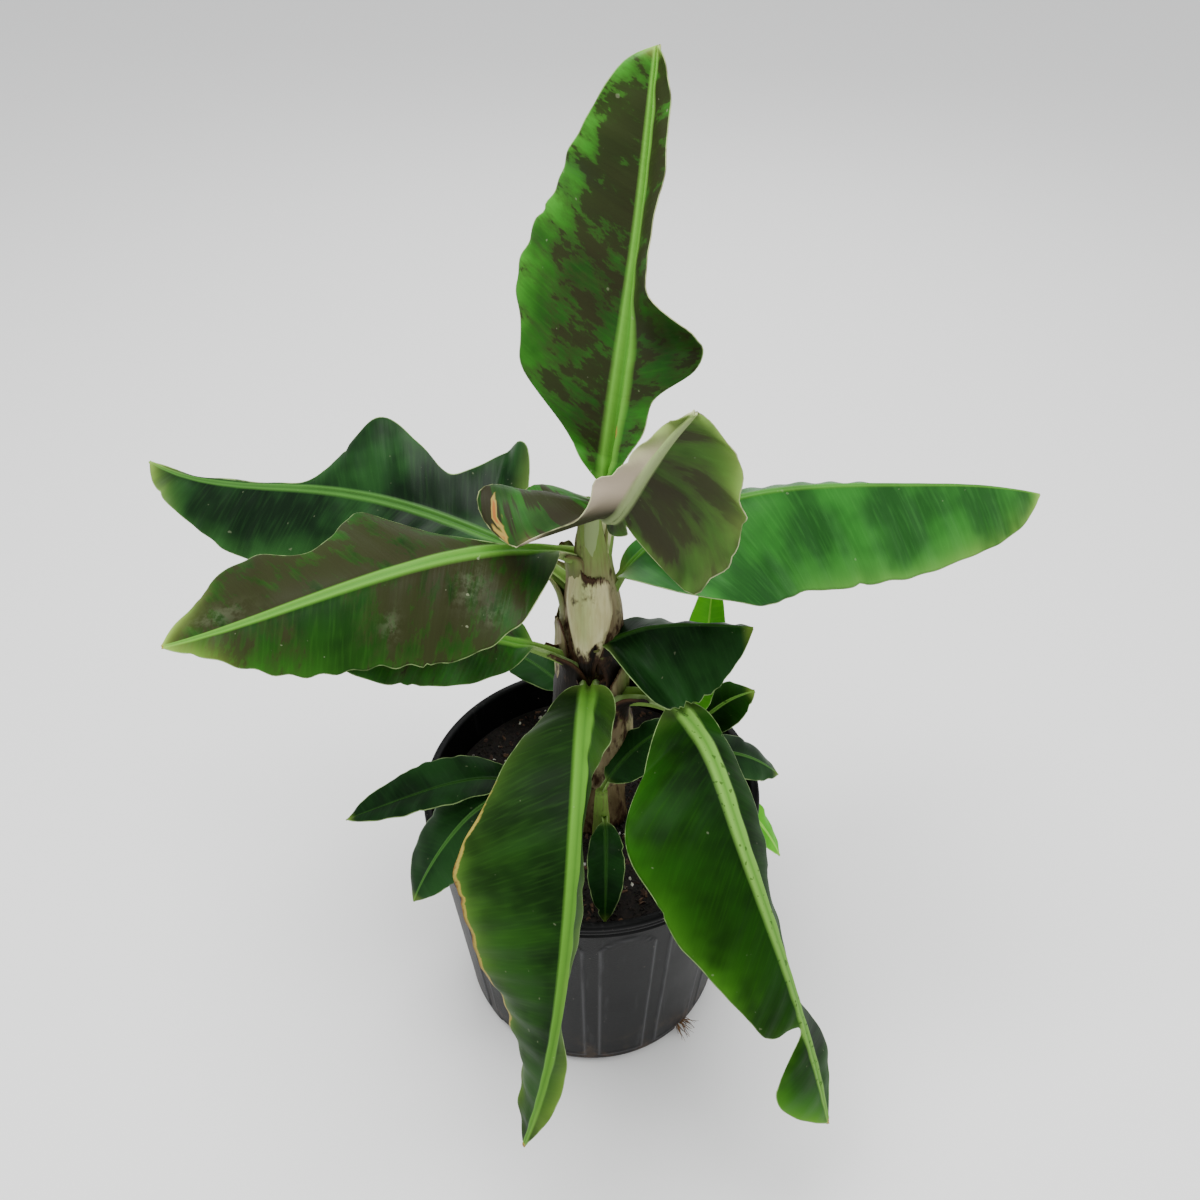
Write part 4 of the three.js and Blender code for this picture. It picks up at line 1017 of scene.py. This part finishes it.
def potMaterial():
    # blown polyethylene: matt with a fine orange-peel skin, dusty near the foot, scuffed in streaks, and a
    # painted highlight along the panel beads
    material, tree, shader = newMaterial("mattBlackPolyethylene", 0.5, 0.13)
    place = add(tree, "TexCoord", take="Object")
    bead = add(tree, "Attribute", take="Fac", attribute_name="bead")
    cloudy = add(tree, "TexNoise", place, every(potPattern["cloud"]), 4.0, 0.55)
    streak = add(tree, "Mapping", place, None, None, (1.0, 1.0, 0.07))
    streak = add(tree, "TexNoise", streak, every(potPattern["streak"]), 3.0, 0.55)
    dust = add(tree, "TexNoise", place, every(potPattern["dust"]), 5.0, 0.7)
    speck = add(tree, "TexNoise", place, every(potPattern["speck"]), 1.0, 0.55)
    height = add(tree, "SeparateXYZ", place, take="Z")
    low = add(tree, "MapRange", height, 0.0, potPattern["dustHeight"] * mm, 1.0, 0.0)
    colour = layered(tree, "#060607", [
        (add(tree, "MapRange", cloudy, 0.3, 0.7), "#0c0c0d"),
        # painted highlight: lighter grey along the panel beads, where the raised edges catch the light
        (add(tree, "Math", bead, add(tree, "MapRange", cloudy, 0.25, 0.5, 0.0, 0.7)), "#48484a"),
        (add(tree, "MapRange", streak, 0.58, 0.76, 0.0, 0.22), "#454547"),
        (add(tree, "Math", low, add(tree, "MapRange", dust, 0.45, 0.7, 0.0, 0.5)), "#5b4a3a"),
        (add(tree, "MapRange", speck, 0.76, 0.8, 0.0, 0.4), "#8b8277"),
    ])
    rough = add(tree, "Math", cloudy, 0.2, 0.36, operation="MULTIPLY_ADD")
    tree.links.new(rough, shader.inputs["Roughness"])
    skin = add(tree, "TexNoise", place, every(potPattern["skin"]), 2.0, 0.55)
    relief = add(tree, "Math", streak, 0.5, skin, operation="MULTIPLY_ADD")
    dress(tree, shader, colour, relief, potPattern["relief"], 0.8)
    return material


def panelRise(angle, z, radius):
    # raised field with an arched top, and a slim bead where it meets the wall; also gives the bead's share,
    # along which a highlight is painted
    outside = radius > wallRadius(z) - potSettings["wall"] / 2
    step = 360 / potSettings["panels"]
    turn = np.degrees(angle)
    off = np.abs(turn - np.round(turn / step) * step)
    half = potSettings["panelAngle"] / 2
    archTop = potSettings["panelTop"] - 14 * np.minimum(off / half, 1.1) ** 2
    perDegree = np.radians(1) * wallRadius(z)
    inwards = np.minimum((half - off) * perDegree, np.minimum(z - potSettings["panelBottom"], archTop - z))
    bead = np.exp(-((inwards - 0.6) / 1.1) ** 2)
    rise = potSettings["panelRelief"] * smooth(-0.8, 0.8, inwards) + potSettings["beadLift"] * bead
    return np.where(outside, rise, 0), np.where(outside, bead, 0)


def panelLift(angle, z, radius):
    return panelRise(angle, z, radius)[0]


def potProfile():
    # [radius, height] from the middle of the underside, up the wall, round the lip and down inside
    height = potSettings["height"]
    lipBottom = height - potSettings["lipHeight"]
    lip = potSettings["rimRadius"]
    base = potSettings["baseRadius"]
    rim = float(wallRadius(height))
    profile = [[0, 0], [60, 0], [base - 10, 0], [base - 6, 0.5], [base - 3, 2.5], [wallRadius(5) - 0.6, 5]]
    levels = [7, 9, 12, 13.5, 14.5, 15.5, 16.5, 18, 22, *range(30, 196, 8), *range(199, 226, 2)]
    profile += [[float(wallRadius(z)), z] for z in [*levels, 230, lipBottom]]
    profile += [
        [lip - 3, lipBottom], [lip - 0.8, lipBottom + 0.6], [lip, lipBottom + 1.6], [lip, lipBottom + 3.2],
        [lip - 1.4, lipBottom + 4.2], [lip - 1.4, lipBottom + 5.2], [lip - 0.3, lipBottom + 6.2],
        [lip, lipBottom + 7.2], [lip - 0.1, lipBottom + 8.6], [lip - 0.9, lipBottom + 9.4],
        [lip - 0.2, lipBottom + 10.3], [lip, height - 2.5], [lip - 0.6, height - 0.8], [lip - 2, height],
        [rim - 1, height], [rim - 2.2, height - 0.7], [rim - 2.4, height - 3],
    ]
    profile += [[float(wallRadius(z)) - potSettings["wall"], z] for z in (240, 230, 200, 120, 40, 6)]
    return profile + [[float(wallRadius(3)) - 5, potSettings["floor"]], [0, potSettings["floor"]]]


def panelAngles():
    # columns of each panel, close together where its edge bead stands
    half = np.array([1, 3, 5, 7, 8.4, 9, 9.4, 9.7, 10, 10.3, 10.7, 11.3, 12.3])
    step = 360 / potSettings["panels"]
    columns = np.concatenate([-half[::-1], half])
    return np.concatenate([np.radians(k * step + columns) for k in range(potSettings["panels"])])


def drillBit():
    # four bars through the foot of the wall, for the drain holes
    shape = bmesh.new()
    radius = potSettings["drainRadius"] * mm
    out = Vector((potSettings["baseRadius"] - 4, 0, potSettings["drainHeight"])) * mm
    for hole in range(4):
        place = Matrix.Rotation(math.radians(-45 + 90 * hole), 4, "Z") @ Matrix.Translation(out)
        bmesh.ops.create_cone(
            shape, segments=28, radius1=radius, radius2=radius, depth=24 * mm, cap_ends=True,
            matrix=place @ Matrix.Rotation(math.pi / 2, 4, "Y"),
        )
    mesh = bpy.data.meshes.new("drill")
    shape.to_mesh(mesh)
    shape.free()
    return placed("drill", mesh)


def mouldPot():
    pot = turnedBody("nurseryPot", potProfile(), panelAngles(), [potMaterial()], panelLift)
    x, y, z = np.array([vertex.co[:] for vertex in pot.data.vertices]).T / mm
    # the bead lines, along which the pot's colour paints a highlight
    addAttribute(pot, "bead", panelRise(np.arctan2(y, x), z, np.hypot(x, y))[1])
    drill = drillBit()
    cut = pot.modifiers.new("drain", "BOOLEAN")
    cut.operation = "DIFFERENCE"
    cut.object = drill
    cut.solver = "EXACT"
    pot = bakedCopy(pot)
    bpy.data.objects.remove(drill)
    finishPiece(pot, "pot_plastic", "pot")


def bakedCopy(piece):
    # the piece with its modifiers worked into its mesh
    depsgraph = bpy.context.evaluated_depsgraph_get()
    mesh = bpy.data.meshes.new_from_object(piece.evaluated_get(depsgraph))
    piece.modifiers.clear()
    old = piece.data
    piece.data = mesh
    bpy.data.meshes.remove(old)
    mesh.name = piece.name
    return piece


# Potting mix: peat with bark chips and white perlite, loose on top
soilSettings = {"level": 216, "floor": 3.3, "dome": 5, "gap": 3.2, "lump": 1.4, "rings": 60, "sides": 120}
crumbSettings = {
    "peatCrumbs": {"perArea": 52000, "size": 2.1, "flat": 0.7, "seed": 4, "colour": ["#100b08", "#20160f"]},
    "barkChips": {"perArea": 7000, "size": 3.2, "flat": 0.35, "seed": 9, "colour": ["#33211a", "#5e4430"]},
    "perliteGrains": {
        "perArea": 2600, "size": 1.8, "flat": 0.85, "seed": 14, "colour": ["#a8a496", "#cfccc2"],
    },
}


def grainMaterial(name, colours, roughness):
    # crumbled plant matter or popped glass: dull, uneven and different from grain to grain
    material, tree, shader = newMaterial(name, roughness)
    place = add(tree, "TexCoord", take="Object")
    tone = add(tree, "TexNoise", place, every(3.8), 3.0, 0.55)
    colour = layered(tree, colours[0], [(add(tree, "MapRange", tone, 0.38, 0.62), colours[1])])
    dress(tree, shader, colour, add(tree, "TexNoise", place, every(0.7), 3.0, 0.55), 0.5)
    return material


def soilHeight(x, y, radius):
    share = np.hypot(x, y) / radius
    lump = soilSettings["lump"] * (waves(21, 6, x / 100, 1, 5) * 0.5 + waves(22, 6, y / 100, 1, 5) * 0.5)
    dome = np.interp(share, [0, 0.6, 1], [1, 0.7, 0])
    return soilSettings["level"] + soilSettings["dome"] * dome + lump * (1 - share ** 6)


def fillSoil():
    rings = soilSettings["rings"]
    sides = soilSettings["sides"]
    radius = float(wallRadius(soilSettings["level"])) - soilSettings["gap"]
    angles = np.arange(sides) / sides * 2 * np.pi
    reach = np.linspace(0.02, 1, rings)[:, None] * radius
    x = reach * np.cos(angles)
    y = reach * np.sin(angles)
    top = np.stack([x, y, soilHeight(x, y, radius)], 2)
    floor = soilSettings["floor"]
    lowReach = float(wallRadius(floor)) - soilSettings["gap"]
    bottom = np.stack([lowReach * np.cos(angles), lowReach * np.sin(angles), floor + 0 * angles], 1)[None]
    points = np.concatenate([top, bottom]).reshape(-1, 3)
    points = np.vstack([points, [0, 0, soilHeight(0.0, 0.0, radius)], [0, 0, floor]])
    peat = grainMaterial("dampPeat", ["#0d0906", "#1c130e"], 0.95)
    finishPiece(makePiece("pottingMix", points, cappedFaces(rings + 1, sides), [peat]), "potting_mix", "soil")
    topPoints = top.reshape(-1, 3) - [0, 0, 0.3]
    inner = int(rings * 0.97)
    base = makePiece("crumbGround", topPoints, gridFaces(inner, sides, closed=True), [peat])
    for name, settings in crumbSettings.items():
        scatterGrains(name, base, settings)
    bpy.data.objects.remove(base)


crumbInputs = {
    "Geometry": "NodeSocketGeometry", "PerArea": "NodeSocketFloat", "Size": "NodeSocketFloat",
    "Flat": "NodeSocketFloat", "Seed": "NodeSocketInt",
}


def newTree(name, inputs):
    # empty geometry tree; gives the identifier of each input by its name
    tree = bpy.data.node_groups.new(name, "GeometryNodeTree")
    identifiers = {}
    for key, kind in inputs.items():
        identifiers[key] = tree.interface.new_socket(name=key, in_out="INPUT", socket_type=kind).identifier
    tree.interface.new_socket(name="Geometry", in_out="OUTPUT", socket_type="NodeSocketGeometry")
    return tree, identifiers


def finishTree(tree, shape, material):
    painted = add(tree, "GeometryNodeSetMaterial", shape, None, material)
    add(tree, "NodeGroupOutput", painted)


def grainTree(name, material):
    # crumbs strewn over the ground's faces: each is a lumpy 20-sided grain
    tree, identifiers = newTree(name, crumbInputs)
    given = {key: add(tree, "NodeGroupInput", take=key) for key in crumbInputs}
    size = given["Size"]
    spots = add(
        tree, "GeometryNodeDistributePointsOnFaces", given["Geometry"], None, given["PerArea"], given["Seed"],
    )
    grain = add(tree, "GeometryNodeMeshIcoSphere", 1.0, 1)
    turn = add(tree, "FunctionNodeRandomValue", None, (6.28, 6.28, 6.28), None, given["Seed"])
    wide = add(tree, "FunctionNodeRandomValue", (0.45, 0.45, 0.45), (1.25, 1.25, 1.25), None, given["Seed"])
    flat = add(tree, "CombineXYZ", size, size, add(tree, "Math", size, given["Flat"]))
    scale = add(tree, "VectorMath", wide, flat, operation="MULTIPLY")
    strewn = add(tree, "GeometryNodeInstanceOnPoints", spots, None, grain, None, None, turn, scale)
    real = add(tree, "GeometryNodeRealizeInstances", strewn)
    rough = add(tree, "TexNoise", None, every(1.4), 1.0, take="Color")
    push = add(tree, "VectorMath", rough, (0.5, 0.5, 0.5), operation="SUBTRACT")
    push = add(tree, "VectorMath", push, add(tree, "Math", size, 1.2), operation="SCALE")
    finishTree(tree, add(tree, "GeometryNodeSetPosition", real, None, None, push), material)
    return tree, identifiers


def scatterGrains(name, base, settings):
    tree, identifiers = grainTree(name, grainMaterial(name + "Grain", settings["colour"], 0.9))
    piece = placed(name, base.data.copy())
    modifier = piece.modifiers.new("strewn", "NODES")
    modifier.node_group = tree
    modifier[identifiers["PerArea"]] = float(settings["perArea"])
    modifier[identifiers["Size"]] = settings["size"] * mm
    modifier[identifiers["Flat"]] = settings["flat"]
    modifier[identifiers["Seed"]] = settings["seed"]
    finishPiece(bakedCopy(piece), "potting_mix")


# Root ends that have grown out of the front right drain hole
rootSettings = {
    "heading": -45, "strands": 26, "steps": 15, "reach": [7, 20], "thickness": [0.35, 0.9], "fan": 0.55,
    "rise": [-0.15, 0.5], "spread": 4, "droop": 6.5, "seed": 8,
}


def rootMaterial():
    # dry fibrous root: dull brown bark, paler in patches, with a fine bumpy relief
    material, tree, shader = newMaterial("dryRootFibre", 0.9)
    place = add(tree, "TexCoord", take="Object")
    tone = add(tree, "TexNoise", place, every(3.1), 3.0, 0.55)
    colour = layered(tree, "#3d281b", [(add(tree, "MapRange", tone, 0.4, 0.62), "#80603f")])
    dress(tree, shader, colour, add(tree, "TexNoise", place, every(0.7), 2.0, 0.55), 0.4)
    return material


def rootPath(dice):
    # points and radii of one root, from inside the hole outwards and down
    reach = dice.uniform(*rootSettings["reach"])
    turn = dice.uniform(-rootSettings["fan"], rootSettings["fan"])
    rise = dice.uniform(*rootSettings["rise"])
    thick = dice.uniform(*rootSettings["thickness"])
    phase = dice.uniform(0, 6)
    offset = dice.uniform(-rootSettings["spread"], rootSettings["spread"])
    start = float(wallRadius(potSettings["drainHeight"])) - potSettings["wall"]
    heading = math.radians(rootSettings["heading"])
    points = []
    for i in range(rootSettings["steps"]):
        t = i / (rootSettings["steps"] - 1)
        out = start - 2 + reach * t * math.cos(turn)
        side = offset + reach * math.sin(turn) * t * 1.3 + 0.9 * t * math.sin(5 * t + phase)
        z = potSettings["drainHeight"] + dice.uniform(-0.2, 0.2) + reach * rise * t
        z = z - rootSettings["droop"] * t * t
        x = out * math.cos(heading) - side * math.sin(heading)
        y = out * math.sin(heading) + side * math.cos(heading)
        points.append([x, y, max(z + offset * 0.3, 1.0)])
    return points, thick * (1 - 0.8 * np.linspace(0, 1, rootSettings["steps"])) * mm


def rootTree():
    # round tubes along the strands, as thick as each point says
    tree, _ = newTree("rootStrands", {"Geometry": "NodeSocketGeometry"})
    curve = add(tree, "GeometryNodeMeshToCurve", add(tree, "NodeGroupInput", take="Geometry"))
    width = add(tree, "GeometryNodeInputNamedAttribute", "thickness", data_type="FLOAT")
    sized = add(tree, "GeometryNodeSetCurveRadius", curve, None, width)
    outline = add(tree, "GeometryNodeCurvePrimitiveCircle", 7, take="Curve")
    tube = add(tree, "GeometryNodeCurveToMesh", sized, outline, width, True)
    finishTree(tree, add(tree, "GeometryNodeRealizeInstances", tube), rootMaterial())
    return tree


def growRoots():
    dice = random.Random(rootSettings["seed"])
    paths = [rootPath(dice) for _ in range(rootSettings["strands"])]
    points = np.concatenate([path for path, _ in paths]) * mm
    steps = rootSettings["steps"]
    edges = [[i - 1, i] for i in range(len(points)) if i % steps]
    mesh = bpy.data.meshes.new("rootStrands")
    mesh.from_pydata(points.tolist(), edges, [])
    piece = placed("rootStrands", mesh)
    addAttribute(piece, "thickness", np.concatenate([radii for _, radii in paths]))
    piece.modifiers.new("tubes", "NODES").node_group = rootTree()
    finishPiece(bakedCopy(piece), "root_fibre", "rootTuft")


growStem()
growClasps()
for index, (name, sheath) in enumerate(tornSheaths.items()):
    growTornSheath(name, sheath, 70 + index)
for index, (name, sucker) in enumerate(suckerStems.items()):
    growSuckerStem(name, sucker, index)
print("stem and shoots grown")
mouldPot()
fillSoil()
growRoots()
print("pot filled")


# Stage: camera, floor and light

cameraSettings = {
    "target": [0.007, 0.0, 0.4557], "distance": 0.868, "elevation": 41.4, "lens": 36, "sensor": 36,
}


def addCamera():
    data = bpy.data.cameras.new("camera")
    data.lens = cameraSettings["lens"]
    data.sensor_width = cameraSettings["sensor"]
    camera = placed("camera", data)
    tilt = math.radians(cameraSettings["elevation"])
    away = Vector((0.0, -math.cos(tilt), math.sin(tilt)))
    camera.location = Vector(cameraSettings["target"]) + away * cameraSettings["distance"]
    camera.rotation_euler = (math.pi / 2 - tilt, 0.0, 0.0)
    bpy.context.scene.camera = camera


def addFloor():
    # plain pale studio floor
    material, tree, shader = newMaterial("paleStudioFloor", 0.9)
    shader.inputs["Base Color"].default_value = linear("#f7f7f6")
    reach = 9000
    corners = [[-reach, -reach, 0], [reach, -reach, 0], [reach, reach, 0], [-reach, reach, 0]]
    makePiece("floor", corners, [[0, 1, 2, 3]], [material])


lampAim = [0.0, 0.0, 0.35]
lightSettings = {
    "above": {"from": [-0.3, -0.15, 2.2], "size": 1.1, "power": 52},
    "right": {"from": [1.6, -0.5, 1.2], "size": 1.2, "power": 9},
    "back": {"from": [0.2, 1.6, 1.5], "size": 1.4, "power": 12},
}


def addLights():
    for name, settings in lightSettings.items():
        data = bpy.data.lights.new(name, "AREA")
        data.size = settings["size"]
        data.energy = settings["power"]
        lamp = placed(name, data)
        lamp.location = settings["from"]
        aim = Vector(lampAim) - lamp.location
        lamp.rotation_euler = aim.to_track_quat("-Z", "Y").to_euler()
    world = bpy.data.worlds.new("paleStudio")
    world.use_nodes = True
    world.node_tree.nodes["Background"].inputs[0].default_value = linear("#f4f5f6")
    world.node_tree.nodes["Background"].inputs[1].default_value = 1.0
    bpy.context.scene.world = world


addCamera()
addFloor()
addLights()
print("stage set")
